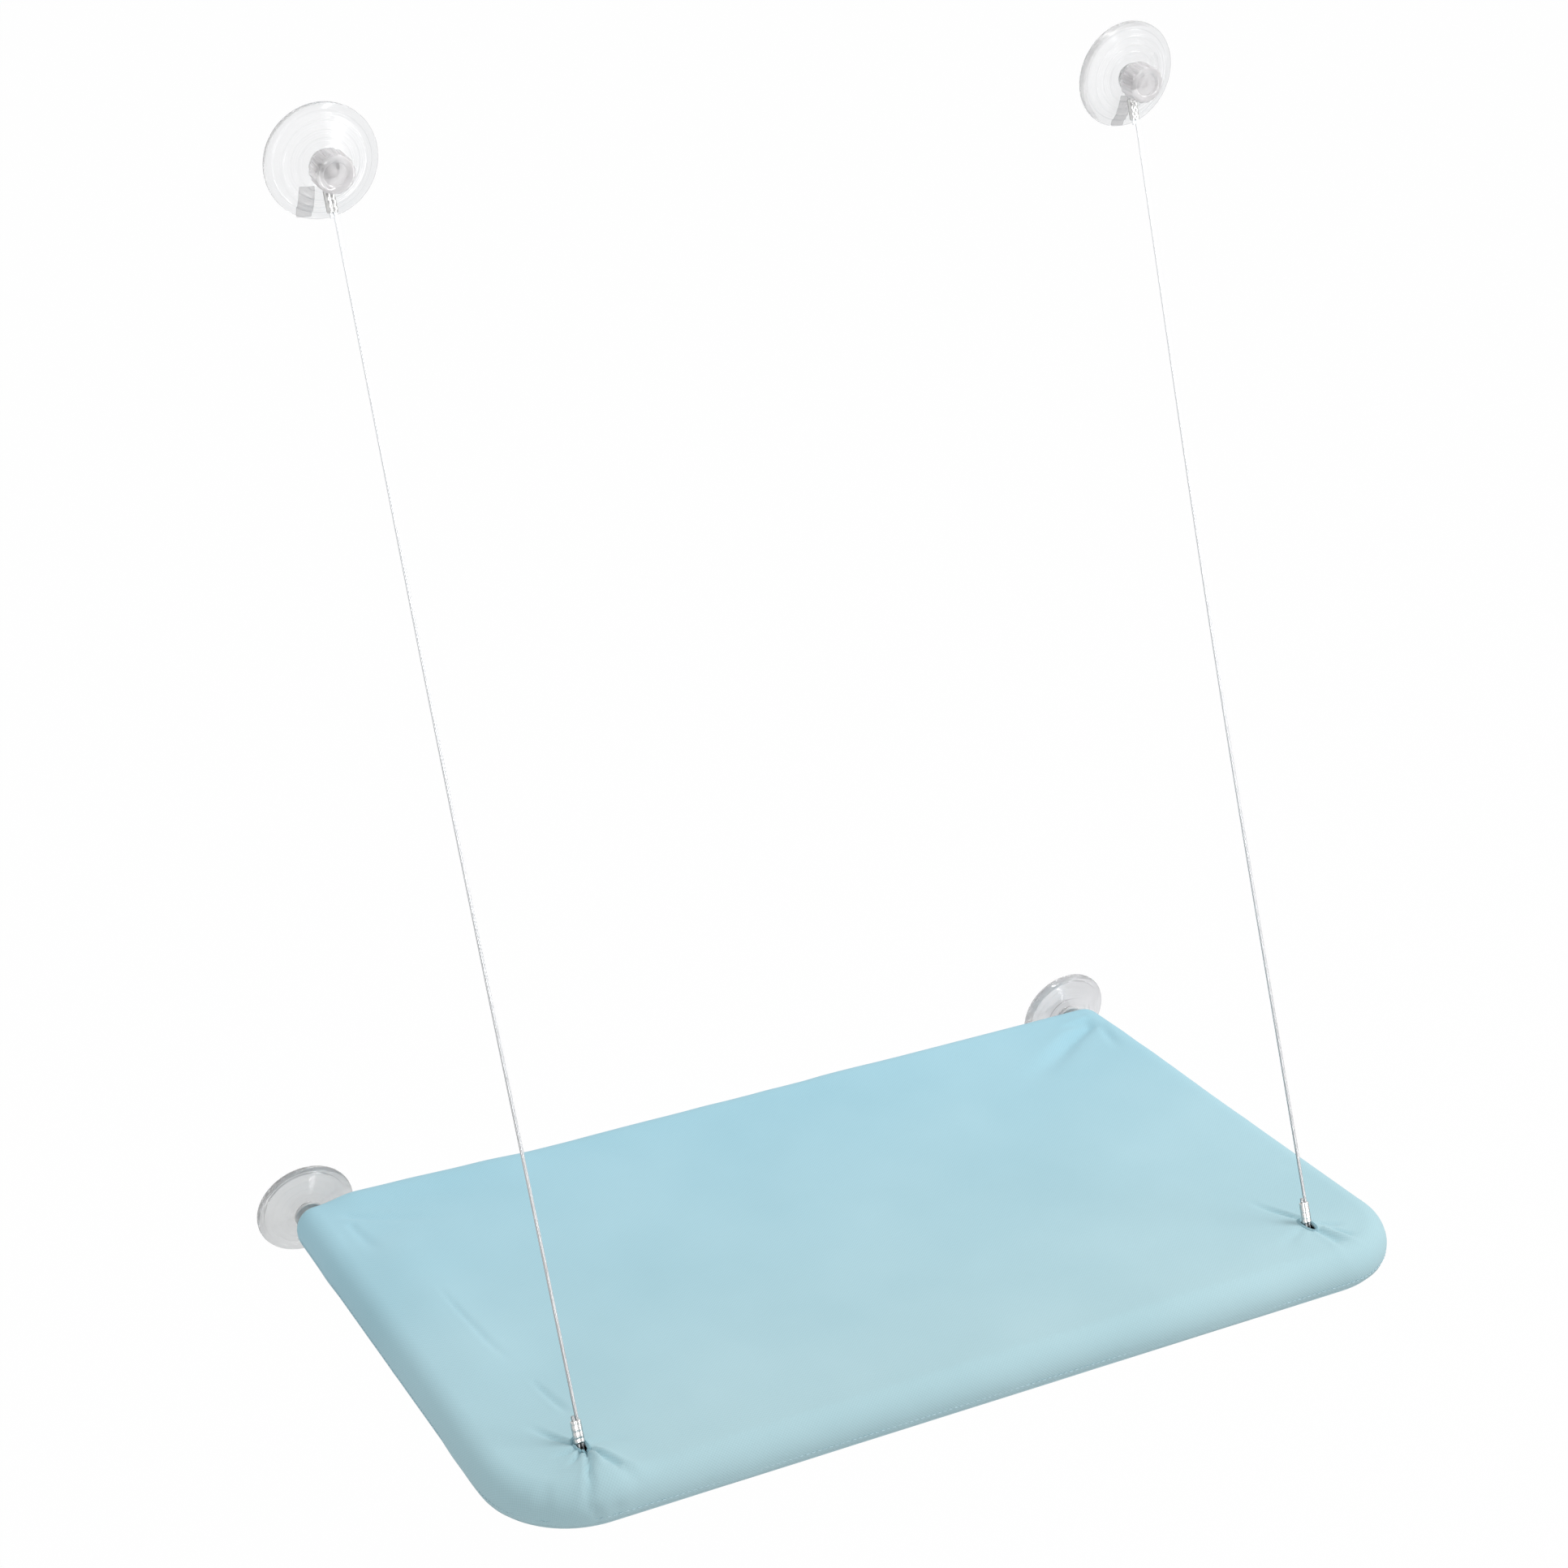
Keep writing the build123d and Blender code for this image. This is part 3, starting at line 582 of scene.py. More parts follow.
@dataclass
class SubAssembly:
    """A group of pieces that is built together and knows what it has made."""

    pieces: list[Object] = field(default_factory=list, init=False)

    def keep(self, piece: Object, carrier: Carrier, slot: Slot, *nodes: str) -> Object:
        """Makes a finished piece part of the perch.

        Args:
            piece: The finished object.
            carrier: The body it moves with.
            slot: The record's finish that it takes; not used.
            *nodes: The CAD nodes that it stands for.

        Returns:
            The same object.
        """
        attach(piece, carrier.value)
        if nodes:
            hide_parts(*nodes)
        self.pieces.append(piece)
        log.info("%s: %d faces on %s", piece.name, len(piece.data.polygons), carrier.value)
        return piece


@dataclass
class Recipe:
    """A Geometry Nodes tree with named inputs, run on a piece and baked into its mesh."""

    name: str
    numbers: tuple[str, ...]

    def __post_init__(self) -> None:
        """Makes the tree, which takes a geometry, the named numbers and a material."""
        self.tree = bpy.data.node_groups.new(self.name, "GeometryNodeTree")
        self.socket("Geometry", "Geometry", "OUTPUT")
        self.socket("Geometry", "Geometry")
        for name in self.numbers:
            self.socket(name, "Float")
        self.socket("Material", "Material")
        self.given = add_node(self.tree, "NodeGroupInput").outputs

    def socket(self, name: str, kind: str, end: str = "INPUT") -> None:
        """Adds one named socket to an end of the tree."""
        self.tree.interface.new_socket(name, in_out=end, socket_type="NodeSocket" + kind)

    def close(self, geometry: Node) -> None:
        """Ends the tree: real geometry, smooth, in the material that is handed in.

        Args:
            geometry: The node that has made the pieces.
        """
        real = add_node(self.tree, "GeometryNodeRealizeInstances", {"Geometry": geometry})
        smooth = add_node(self.tree, "GeometryNodeSetShadeSmooth", {"Geometry": real})
        dressed = add_node(self.tree, "GeometryNodeSetMaterial", {"Geometry": smooth,
                                                                  "Material": self.given["Material"]})
        add_node(self.tree, "NodeGroupOutput", {"Geometry": dressed})

    def bake(self, name: str, base: Mesh, sizes: dict, finish: Finish) -> Object:
        """Runs the tree on a mesh and keeps the result as a plain mesh.

        Args:
            name: The new piece's name.
            base: The mesh that goes into the tree.
            sizes: The tree's inputs by name.
            finish: The finish, which is one of the tree's inputs.

        Returns:
            The new object, at the origin, with no modifier.
        """
        holder = put(name + "_base", base)
        modifier = holder.modifiers.new(self.name, "NODES")
        modifier.node_group = self.tree
        names = {item.name: item.identifier for item in self.tree.interface.items_tree if item.in_out == "INPUT"}
        for key, value in {**sizes, "Material": finish.material()}.items():
            modifier[names[key]] = value
        seen = holder.evaluated_get(bpy.context.evaluated_depsgraph_get())
        mesh = bpy.data.meshes.new_from_object(seen)
        mesh.name = name
        bpy.data.objects.remove(holder)
        return put(name, mesh)


def wire_rope_recipe() -> Recipe:
    """Makes the tree that lays a wire rope along a line: six strands round a core, twisted.

    Returns:
        The recipe. Its inputs are Rope Radius, Lay Length, Step and Material.
    """
    rope = Recipe("wire_rope", ("Rope Radius", "Lay Length", "Step"))
    given = rope.given
    add = partial(add_node, rope.tree)
    line = add("GeometryNodeMeshToCurve", {"Mesh": given["Geometry"]})
    even = add("GeometryNodeResampleCurve", {"Curve": line, "Length": given["Step"]}, mode="LENGTH")
    along = add("GeometryNodeSplineParameter")
    turns = add("ShaderNodeMath", {0: along.outputs["Length"], 1: given["Lay Length"]}, operation="DIVIDE")
    angle = add("ShaderNodeMath", {0: turns, 1: 2 * math.pi}, operation="MULTIPLY")
    twisted = add("GeometryNodeSetCurveTilt", {"Curve": even, "Tilt": angle})
    points = 42
    ring = add("GeometryNodeCurvePrimitiveCircle", {"Resolution": points, "Radius": 1.0})
    index = add("GeometryNodeInputIndex")
    turned = add("ShaderNodeMath", {0: index, 1: 2 * math.pi / points}, operation="MULTIPLY")
    within = add("ShaderNodeMath", {0: turned, 1: math.pi / 6, 2: -math.pi / 6}, operation="WRAP")
    sine = add("ShaderNodeMath", {0: within}, operation="SINE")
    cosine = add("ShaderNodeMath", {0: within}, operation="COSINE")
    square = add("ShaderNodeMath", {0: sine, 1: sine}, operation="MULTIPLY")
    under = add("ShaderNodeMath", {0: square, 1: -4.0, 2: 1.0}, operation="MULTIPLY_ADD")
    root = add("ShaderNodeMath", {0: under, 1: 0.0}, operation="MAXIMUM")
    bulge = add("ShaderNodeMath", {0: root}, operation="SQRT")
    reach = add("ShaderNodeMath", {0: cosine, 1: 2.0, 2: bulge}, operation="MULTIPLY_ADD")
    third = add("ShaderNodeMath", {0: given["Rope Radius"], 1: 3.0}, operation="DIVIDE")
    scale = add("ShaderNodeMath", {0: reach, 1: third}, operation="MULTIPLY")
    place = add("GeometryNodeInputPosition")
    moved = add("ShaderNodeVectorMath", {0: place, "Scale": scale}, operation="SCALE")
    section = add("GeometryNodeSetPosition", {"Geometry": ring, "Position": moved})
    tube = add("GeometryNodeCurveToMesh", {"Curve": twisted, "Fill Caps": True, "Profile Curve": section})
    rope.close(tube)
    return rope


def knob_rib_recipe() -> Recipe:
    """Makes the tree that presses round flutes into a barrel that stands up Z.

    Returns:
        The recipe. Its inputs are Barrel Radius, Flute Depth, Rib Count, Lowest, Highest and Material.
    """
    ribs = Recipe("knob_ribs", ("Barrel Radius", "Flute Depth", "Rib Count", "Lowest", "Highest"))
    given = ribs.given
    add = partial(add_node, ribs.tree)
    place = add("GeometryNodeInputPosition")
    parts = add("ShaderNodeSeparateXYZ", {0: place})
    flat = add("ShaderNodeCombineXYZ", {"X": parts.outputs["X"], "Y": parts.outputs["Y"]})
    radius = add("ShaderNodeVectorMath", {0: flat}, operation="LENGTH")
    angle = add("ShaderNodeMath", {0: parts.outputs["Y"], 1: parts.outputs["X"]}, operation="ARCTAN2")
    turns = add("ShaderNodeMath", {0: angle, 1: given["Rib Count"]}, operation="MULTIPLY")
    wave = add("ShaderNodeMath", {0: turns}, operation="COSINE")
    valley = add("ShaderNodeMapRange", {"Value": wave, "From Min": -0.3, "From Max": 1.0},
                 interpolation_type="SMOOTHSTEP")
    inner = add("ShaderNodeMath", {0: given["Barrel Radius"], 1: 0.8}, operation="MULTIPLY")
    outer = add("ShaderNodeMapRange", {"Value": radius.outputs["Value"], "From Min": inner,
                                       "From Max": given["Barrel Radius"]})
    press = add("ShaderNodeMath", {0: valley, 1: outer}, operation="MULTIPLY")
    depth = add("ShaderNodeMath", {0: press, 1: given["Flute Depth"]}, operation="MULTIPLY")
    inwards = add("ShaderNodeMath", {0: depth, 1: -1.0}, operation="MULTIPLY")
    unit = add("ShaderNodeVectorMath", {0: flat}, operation="NORMALIZE")
    push = add("ShaderNodeVectorMath", {0: unit, "Scale": inwards}, operation="SCALE")
    low = add("FunctionNodeCompare", {"A": parts.outputs["Z"], "B": given["Lowest"]}, data_type="FLOAT",
              operation="GREATER_EQUAL")
    high = add("FunctionNodeCompare", {"A": parts.outputs["Z"], "B": given["Highest"]}, data_type="FLOAT",
               operation="LESS_EQUAL")
    ribbed = add("FunctionNodeBooleanMath", {0: low, 1: high}, operation="AND")
    moved = add("GeometryNodeSetPosition", {"Geometry": given["Geometry"], "Selection": ribbed, "Offset": push})
    ribs.close(moved)
    return ribs


def stitch_recipe() -> Recipe:
    """Makes the tree that sews a line of stitches: one short rounded thread at each step of a line.

    Returns:
        The recipe. Its inputs are Pitch, Stitch Length, Thread Radius, Turn and Material.
    """
    seam = Recipe("stitches", ("Pitch", "Stitch Length", "Thread Radius", "Turn"))
    given = seam.given
    add = partial(add_node, seam.tree)
    line = add("GeometryNodeMeshToCurve", {"Mesh": given["Geometry"]})
    steps = add("GeometryNodeCurveToPoints", {"Curve": line, "Length": given["Pitch"]}, mode="LENGTH")
    thread = add("GeometryNodeMeshUVSphere", {"Segments": 8, "Rings": 5, "Radius": 0.5})
    across = add("ShaderNodeMath", {0: given["Thread Radius"], 1: 2.0}, operation="MULTIPLY")
    size = add("ShaderNodeCombineXYZ", {"X": across, "Y": across, "Z": given["Stitch Length"]})
    turn = add("ShaderNodeCombineXYZ", {"X": given["Turn"]})
    laid = add("FunctionNodeRotateRotation", {"Rotation": steps.outputs["Rotation"], "Rotate By": turn},
               rotation_space="LOCAL")
    sewn = add("GeometryNodeInstanceOnPoints", {"Points": steps, "Instance": thread, "Rotation": laid, "Scale": size})
    seam.close(sewn)
    return seam


def line_mesh(name: str, points: np.ndarray, closed: bool = False) -> Mesh:
    """Makes a mesh of edges through points in millimetres; closed joins the last to the first."""
    count = len(points)
    return mesh_of(name, points, edges=[(i, (i + 1) % count) for i in range(count if closed else count - 1)])


def spline_line(name: str, control: Sequence[Vector]) -> Mesh:
    """Reads the smooth line of a NURBS route.

    Args:
        name: The route's name.
        control: The route's control points, in millimetres.

    Returns:
        A mesh of edges along the route.
    """
    curve = bpy.data.curves.new(name, "CURVE")
    curve.dimensions = "3D"
    curve.resolution_u = 24
    spline = curve.splines.new("NURBS")
    spline.points.add(len(control) - 1)
    for point, place in zip(spline.points, control):
        point.co = (*(Vector(place) * MM), 1.0)
    spline.order_u = 3
    spline.use_endpoint_u = True
    holder = put(name, curve)
    seen = holder.evaluated_get(bpy.context.evaluated_depsgraph_get())
    mesh = bpy.data.meshes.new_from_object(seen)
    bpy.data.objects.remove(holder)
    return mesh


@dataclass
class BedFrame:
    """The tube frame's main lines, and how the sloping bed lies in the room."""

    standoff: float = 27.0
    rise: float = 3.5
    slope_deg: float = 9.5
    half_width: float = 266.5
    depth: float = 330.0
    bend: float = 40.0

    def lay(self, points: np.ndarray) -> np.ndarray:
        """Turns points of the level bed, hinge line at the origin and front towards -Y, into their place.

        Args:
            points: One row of x, y and z for each point.

        Returns:
            The same points in the room.
        """
        c, s = math.cos(math.radians(self.slope_deg)), math.sin(math.radians(self.slope_deg))
        x, y, z = np.asarray(points, float).T
        return np.stack([x, y * c + z * s - self.standoff, z * c - y * s + self.rise], 1)

    def place(self, x: float, depth: float, height: float) -> Vector:
        """The place in the room of one point of the bed, by its distance in front of the hinge line."""
        return Vector(self.lay(np.array([[x, -depth, height]]))[0])


@dataclass
class CableRun:
    """One cable's line: the ring on the upper stud, the free stretch and the ring through the lug."""

    side: Side
    bed: BedFrame
    ring_stand: float = 8.7
    lug_x: float = 227.0
    lug_depth: float = 307.0
    loop_radius: float = 3.9
    seat_shift: float = 0.2
    loop_length: float = 7.5
    bend_run: float = 2.7
    tail: float = 1.5
    ferrule: float = 12.0

    def __post_init__(self) -> None:
        """Works out the points that the loops, ferrules and cable share."""
        sign = self.side.value
        self.ring = Vector((sign * UPPER_X, -self.ring_stand, UPPER_Z))
        hole = self.bed.place(sign * self.lug_x, self.lug_depth, 0.0)
        self.down = Vector((hole.x - self.ring.x, 0, hole.z - self.ring.z)).normalized()
        self.corner = self.ring + self.down * (self.loop_length + self.bend_run)
        self.up = (self.corner - hole).normalized()
        self.low_ring = hole + self.up * (self.loop_radius + self.seat_shift)
        self.low_end = self.loop_length + self.bend_run + self.tail
        self.upper_sleeve = self.corner - self.up * self.tail
        self.lower_sleeve = self.low_ring + self.up * self.low_end
        self.across = self.up.cross(Vector((0, 1, 0))).normalized()
        self.top = self.upper_sleeve - self.up * self.ferrule
        self.bottom = self.lower_sleeve + self.up * self.ferrule


@dataclass
class Cables(SubAssembly):
    """The two stranded cables, their loops and their pressed sleeves."""

    bed: BedFrame
    rope_radius: float = 1.0
    lay_length: float = 12.0
    step: float = 0.8
    leg_spacing: float = 1.05
    sleeve_radius: float = 1.9
    sleeve_waist: float = 1.45
    crimp: float = 0.22
    # the pressed bands, as shares of the sleeve's length
    bands: tuple[float, ...] = (0.2, 0.5, 0.8)
    band_width: float = 0.07
    end_round: float = 0.35
    stub: float = 2.6
    sag: float = 3.0
    leg_overlap: float = 2.0

    def __post_init__(self) -> None:
        """Makes the one recipe for all the ropes."""
        self.rope = wire_rope_recipe()

    def build(self) -> None:
        """Makes both cables with all their pieces."""
        for side in Side:
            run = CableRun(side, self.bed)
            self.free_stretch(run)
            self.upper_loop(run)
            self.lower_loop(run)
            self.sleeve("upper", run, run.upper_sleeve, -run.up, Carrier.GLASS)
            self.sleeve("lower", run, run.lower_sleeve, run.up, Carrier.BED)
            self.cut_end("upper", run, run.top + run.across * self.leg_spacing, -run.up, Carrier.GLASS)
            self.cut_end("lower", run, run.bottom + run.across * self.leg_spacing, run.up, Carrier.BED)

    def lay_rope(self, name: str, base: Mesh) -> Object:
        """Lays the wire rope along a line of edges."""
        sizes = {"Rope Radius": self.rope_radius * MM, "Lay Length": self.lay_length * MM, "Step": self.step * MM}
        return self.rope.bake(name, base, sizes, CABLE_STEEL)

    def free_stretch(self, run: CableRun) -> None:
        """Makes the free stretch, which leaves one barrel of each sleeve.

        Args:
            run: The cable's line.
        """
        shift = -run.across * self.leg_spacing
        # it leaves each sleeve straight, for six times its thickness
        near = run.up * (6 * 2 * self.rope_radius)
        ends = run.top + shift, run.bottom + shift
        low = run.up.cross(Vector((1, 0, 0))).normalized()
        middle = (ends[0] + ends[1]) / 2 + low * math.copysign(2 * self.sag, -low.z)
        route = spline_line("cable_route", [ends[0], ends[0] - near, middle, ends[1] + near, ends[1]])
        cable = self.lay_rope("cable_rope_" + run.side.label, route)
        self.keep(cable, Carrier.GLASS, Slot.WIRE, "cable_" + run.side.label)
        self.follow_fold(cable, ends)

    def follow_fold(self, cable: Object, ends: tuple[Vector, Vector]) -> None:
        """Gives the cable its own copy of its mesh.

        Args:
            cable: The free stretch.
            ends: Its top and bottom, in millimetres; not used.
        """
        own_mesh(cable)

    def ring_points(self, centre: Vector, along: Vector, across: Vector, radius: float) -> list[Vector]:
        """Control points of a ring that opens along one direction.

        Args:
            centre: The ring's centre.
            along: The way its legs leave.
            across: The way across them.
            radius: The radius of the rope's centreline.

        Returns:
            Points from the first leg round to the second.
        """
        # a curve of order 3 lies at 0.925 of the radius of its eight-sided control polygon
        reach = radius / 0.925
        turns = [math.radians(45 * k + 67.5) for k in range(6)]
        return [centre + across * (reach * math.sin(a)) + along * (reach * math.cos(a)) for a in turns]

    def upper_loop(self, run: CableRun) -> None:
        """Makes the loop on the stud: flat on the hub, its legs bent out into the room.

        Args:
            run: The cable's line.
        """
        across = run.down.cross(Vector((0, 1, 0))).normalized()
        leg = across * self.leg_spacing
        ends = run.upper_sleeve - run.up * self.leg_overlap
        ring = self.ring_points(run.ring, run.down, across, run.loop_radius)
        neck = run.ring + run.down * (run.loop_length + 0.6)
        first = [ends + leg, run.upper_sleeve + leg, run.corner + leg, neck + leg]
        second = [neck - leg, run.corner - leg, run.upper_sleeve - leg, ends - leg]
        route = spline_line("loop_route", first + ring + second)
        loop = self.lay_rope("cable_eye_upper_" + run.side.label, route)
        self.keep(loop, Carrier.GLASS, Slot.WIRE, "cable_loop_upper_" + run.side.label)

    def lower_loop(self, run: CableRun) -> None:
        """Makes the loop through the lug, in line with its cable.

        Args:
            run: The cable's line.
        """
        leg = run.across * self.leg_spacing
        ends = run.lower_sleeve + run.up * self.leg_overlap
        ring = self.ring_points(run.low_ring, run.up, run.across, run.loop_radius)
        neck = run.low_ring + run.up * (run.loop_length + 0.6)
        first = [ends + leg, run.lower_sleeve + leg, neck + leg]
        second = [neck - leg, run.lower_sleeve - leg, ends - leg]
        route = spline_line("loop_route", first + ring + second)
        loop = self.lay_rope("cable_eye_lower_" + run.side.label, route)
        self.keep(loop, Carrier.BED, Slot.WIRE, "cable_loop_lower_" + run.side.label)

    def cut_end(self, level: str, run: CableRun, start: Vector, along: Vector, carrier: Carrier) -> None:
        """Makes the short cut end of the rope that stands out of a sleeve's other barrel.

        Args:
            level: "upper" or "lower".
            run: The cable's line.
            start: The middle of the barrel's end.
            along: The way the rope sticks out.
            carrier: The body it moves with.
        """
        inside = start - along * self.leg_overlap
        route = spline_line("end_route", [inside, start, start + along * self.stub])
        end = self.lay_rope("cable_cut_end_" + level + "_" + run.side.label, route)
        self.keep(end, carrier, Slot.WIRE)

    def sleeve(self, level: str, run: CableRun, start: Vector, along: Vector, carrier: Carrier) -> None:
        """Makes a pressed sleeve of two barrels with three pressed bands.

        Args:
            level: "upper" or "lower".
            run: The cable's line.
            start: The middle of the end that the loop enters.
            along: The way the sleeve runs.
            carrier: The body it moves with.
        """
        normal = run.across.cross(along).normalized()
        stations = 61
        around = 40
        rows = []
        for i in range(stations):
            t = i / (stations - 1)
            press = self.crimp * sum(math.exp(-((t - mid) / self.band_width) ** 2) for mid in self.bands)
            end_round = self.end_round * (math.exp(-t / 0.02) + math.exp(-(1 - t) / 0.02))
            middle = start + along * (run.ferrule * t)
            for k in range(around):
                a = 2 * math.pi * k / around
                reach = self.barrel_reach(a) - end_round
                flat = 1 - press / self.sleeve_radius
                rows.append(middle + run.across * (reach * math.cos(a)) + normal * (reach * math.sin(a) * flat))
        faces = quads(stations, around, loop_cols=True)
        faces.append(list(range(around)))
        faces.append(list(range((stations - 1) * around, stations * around)))
        name = "_ferrule_" + level + "_" + run.side.label
        piece = rig_mesh("cable_sleeve" + name.replace("_ferrule", ""), np.array([list(p) for p in rows]), faces,
                         SLEEVE_NICKEL)
        self.keep(piece, carrier, Slot.FERRULE, "cable" + name)

    def barrel_reach(self, angle: float) -> float:
        """Measures the two joined barrels at an angle from the way across them.

        Args:
            angle: The angle, in radians.

        Returns:
            The radius, in millimetres.
        """
        c, s = abs(math.cos(angle)), math.sin(angle)
        half = self.leg_spacing
        outer = half * c + math.sqrt(max(self.sleeve_radius ** 2 - (half * s) ** 2, 0.0))
        blend = (1 - c) ** 2
        return outer * (1 - blend) + self.sleeve_waist * blend


@dataclass
class SuctionCups(SubAssembly):
    """The four clear cups with their release tabs and studs."""

    bed: BedFrame
    radius: float = 30.0
    seal_inner: float = 23.5
    cavity: float = 1.8
    lip_edge: float = 1.0
    lip_thick: float = 1.4
    step_radius: float = 26.2
    step_height: float = 2.8
    shoulder_radius: float = 10.5
    shoulder_height: float = 5.8
    hub_radius: float = 8.0
    hub_height: float = 7.5
    dome_bulge: float = 0.9
    head_radius: float = 6.0
    head_low: float = 3.2
    head_thick: float = 1.5
    stud_radius: float = 2.5
    pocket_gap: float = 0.05
    # three moulded rings, as shares of the way from the step to the shoulder
    rings: tuple[float, ...] = (0.22, 0.5, 0.78)
    ring_width: float = 0.035
    ring_relief: float = 0.45
    # turning marks of the mould, drawn coarser than the real ones so that they show
    groove_pitch: float = 1.15
    groove_relief: float = 0.09
    tab_width: float = 8.0
    tab_start: float = 11.0
    tab_end: float = 29.4
    tab_proud: float = 0.9
    segments: int = 144

    def build(self) -> None:
        """Makes the four cups."""
        # the lower cups take the copies of the vinyl with painted shade
        for side, lower_turn, upper_turn, shift, vinyl in ((Side.LEFT, 284.0, 268.0, -9.0, SHADED_LOWER_LEFT_VINYL),
                                                           (Side.RIGHT, 258.0, 265.0, 0.0, SHADED_LOWER_RIGHT_VINYL)):
            lower, upper = "lower_" + side.label, "upper_" + side.label
            lower_x, upper_x = side.value * self.bed.half_width, side.value * UPPER_X
            self.cup(lower, lower_x, 0.0, vinyl)
            self.cup(upper, upper_x, UPPER_Z, CUP_VINYL)
            self.tab(lower, lower_x, 0.0, math.radians(lower_turn), 0.0)
            self.tab(upper, upper_x, UPPER_Z, math.radians(upper_turn), shift)

    def dome(self) -> list[tuple[float, float]]:
        """Draws the dome from the step to the shoulder, with three moulded rings.

        Returns:
            The radius and height of each point.
        """
        start = (self.step_radius - 0.5, self.step_height)
        points = []
        for i in range(81):
            t = i / 80
            radius = start[0] + (self.shoulder_radius - start[0]) * t
            height = start[1] + (self.shoulder_height - start[1]) * t + self.dome_bulge * 4 * t * (1 - t)
            height += self.ring_relief * sum(math.exp(-((t - mid) / self.ring_width) ** 2) for mid in self.rings)
            mark = math.sin(2 * math.pi * radius / self.groove_pitch)
            height += self.groove_relief * mark * min(1, 8 * t * (1 - t))
            points.append((radius, height))
        return points

    def profile(self) -> list[tuple[float, float]]:
        """Draws the cup's half section from the stud's pocket round the outside to the cavity.

        Returns:
            The radius and height of each point.
        """
        gap = self.pocket_gap
        head_top = self.head_low + self.head_thick + gap
        pocket = [(0, self.head_low - gap), (self.head_radius + gap, self.head_low - gap),
                  (self.head_radius + gap, head_top), (self.stud_radius + gap, head_top),
                  (self.stud_radius + gap, self.hub_height)]
        hub = [(self.hub_radius - 0.5, self.hub_height), (self.hub_radius - 0.15, self.hub_height - 0.15),
               (self.hub_radius, self.hub_height - 0.5), (self.hub_radius, self.shoulder_height + 0.35),
               (self.hub_radius + 0.35, self.shoulder_height)]
        lip = [(self.step_radius, self.lip_thick + 0.3), (self.step_radius + 0.3, self.lip_thick),
               (self.radius - 0.5, self.lip_edge + 0.1), (self.radius - 0.12, self.lip_edge - 0.1),
               (self.radius, self.lip_edge - 0.4), (self.radius, 0.15), (self.radius - 0.15, 0),
               (self.seal_inner, 0)]
        ceiling = [(self.seal_inner * (1 - k / 12), self.cavity * math.sin(math.pi / 2 * (k / 12)))
                   for k in range(1, 13)]
        return pocket + hub + self.dome()[::-1] + lip + ceiling

    def surface_height(self, radius: float) -> float:
        """Measures how high the outside of the cup stands above the glass.

        Args:
            radius: The distance from the axis.

        Returns:
            The height, in millimetres.
        """
        outline = [(self.radius, self.lip_edge), (self.step_radius, self.lip_thick), *self.dome(),
                   (self.hub_radius, self.shoulder_height)]
        radii, heights = zip(*reversed(outline))
        return float(np.interp(radius, radii, heights))

    def cup(self, place: str, x: float, z: float, vinyl: Finish) -> None:
        """Makes one cup.

        Args:
            place: The end of the node's name, such as "upper_left".
            x: Its axis on the glass, across.
            z: Its axis on the glass, upwards.
            vinyl: The cup's finish.
        """
        points, faces = lathe(self.profile(), self.segments)
        cup = rig_mesh("cup_" + place, out_of_glass(points, x, z), faces, vinyl, sharp_deg=70)
        self.keep(cup, Carrier.GLASS, Slot.CUP, "suction_cup_" + place)

    def tab(self, place: str, x: float, z: float, turn: float, shift: float) -> None:
        """Makes one smoked release tab, a strip that follows the dome from hub to rim.

        Args:
            place: The cup's place, such as "upper_left".
            x: The cup's axis on the glass, across.
            z: The cup's axis on the glass, upwards.
            turn: The way the tab runs, in radians from +X.
            shift: How far it runs beside the axis.
        """
        rows, across = 40, 12
        top, low = [], []
        tip = math.sqrt(self.tab_end ** 2 - shift ** 2)
        for i in range(rows):
            r = self.tab_start + (tip - self.tab_start) * i / (rows - 1)
            end = min(i, rows - 1 - i)
            for k in range(across + 1):
                v = 2 * k / across - 1
                side = shift + v * self.tab_width / 2 * (1 - 0.06 * math.exp(-end / 1.5))
                reach = math.hypot(r, side)
                height = self.surface_height(min(reach, self.radius))
                crown = self.tab_proud * (1 - abs(v) ** 6) * (1 - math.exp(-(end + 0.4) / 0.9))
                u = (r * math.cos(turn) - side * math.sin(turn), r * math.sin(turn) + side * math.cos(turn))
                top.append((*u, height + crown))
                low.append((*u, max(height - 0.5, 0.1)))
        piece = rig_mesh("cup_release_tab_" + place, out_of_glass(np.array(top + low), x, z),
                         slab(rows, across + 1), TAB_VINYL)
        self.keep(piece, Carrier.GLASS, Slot.CUP)


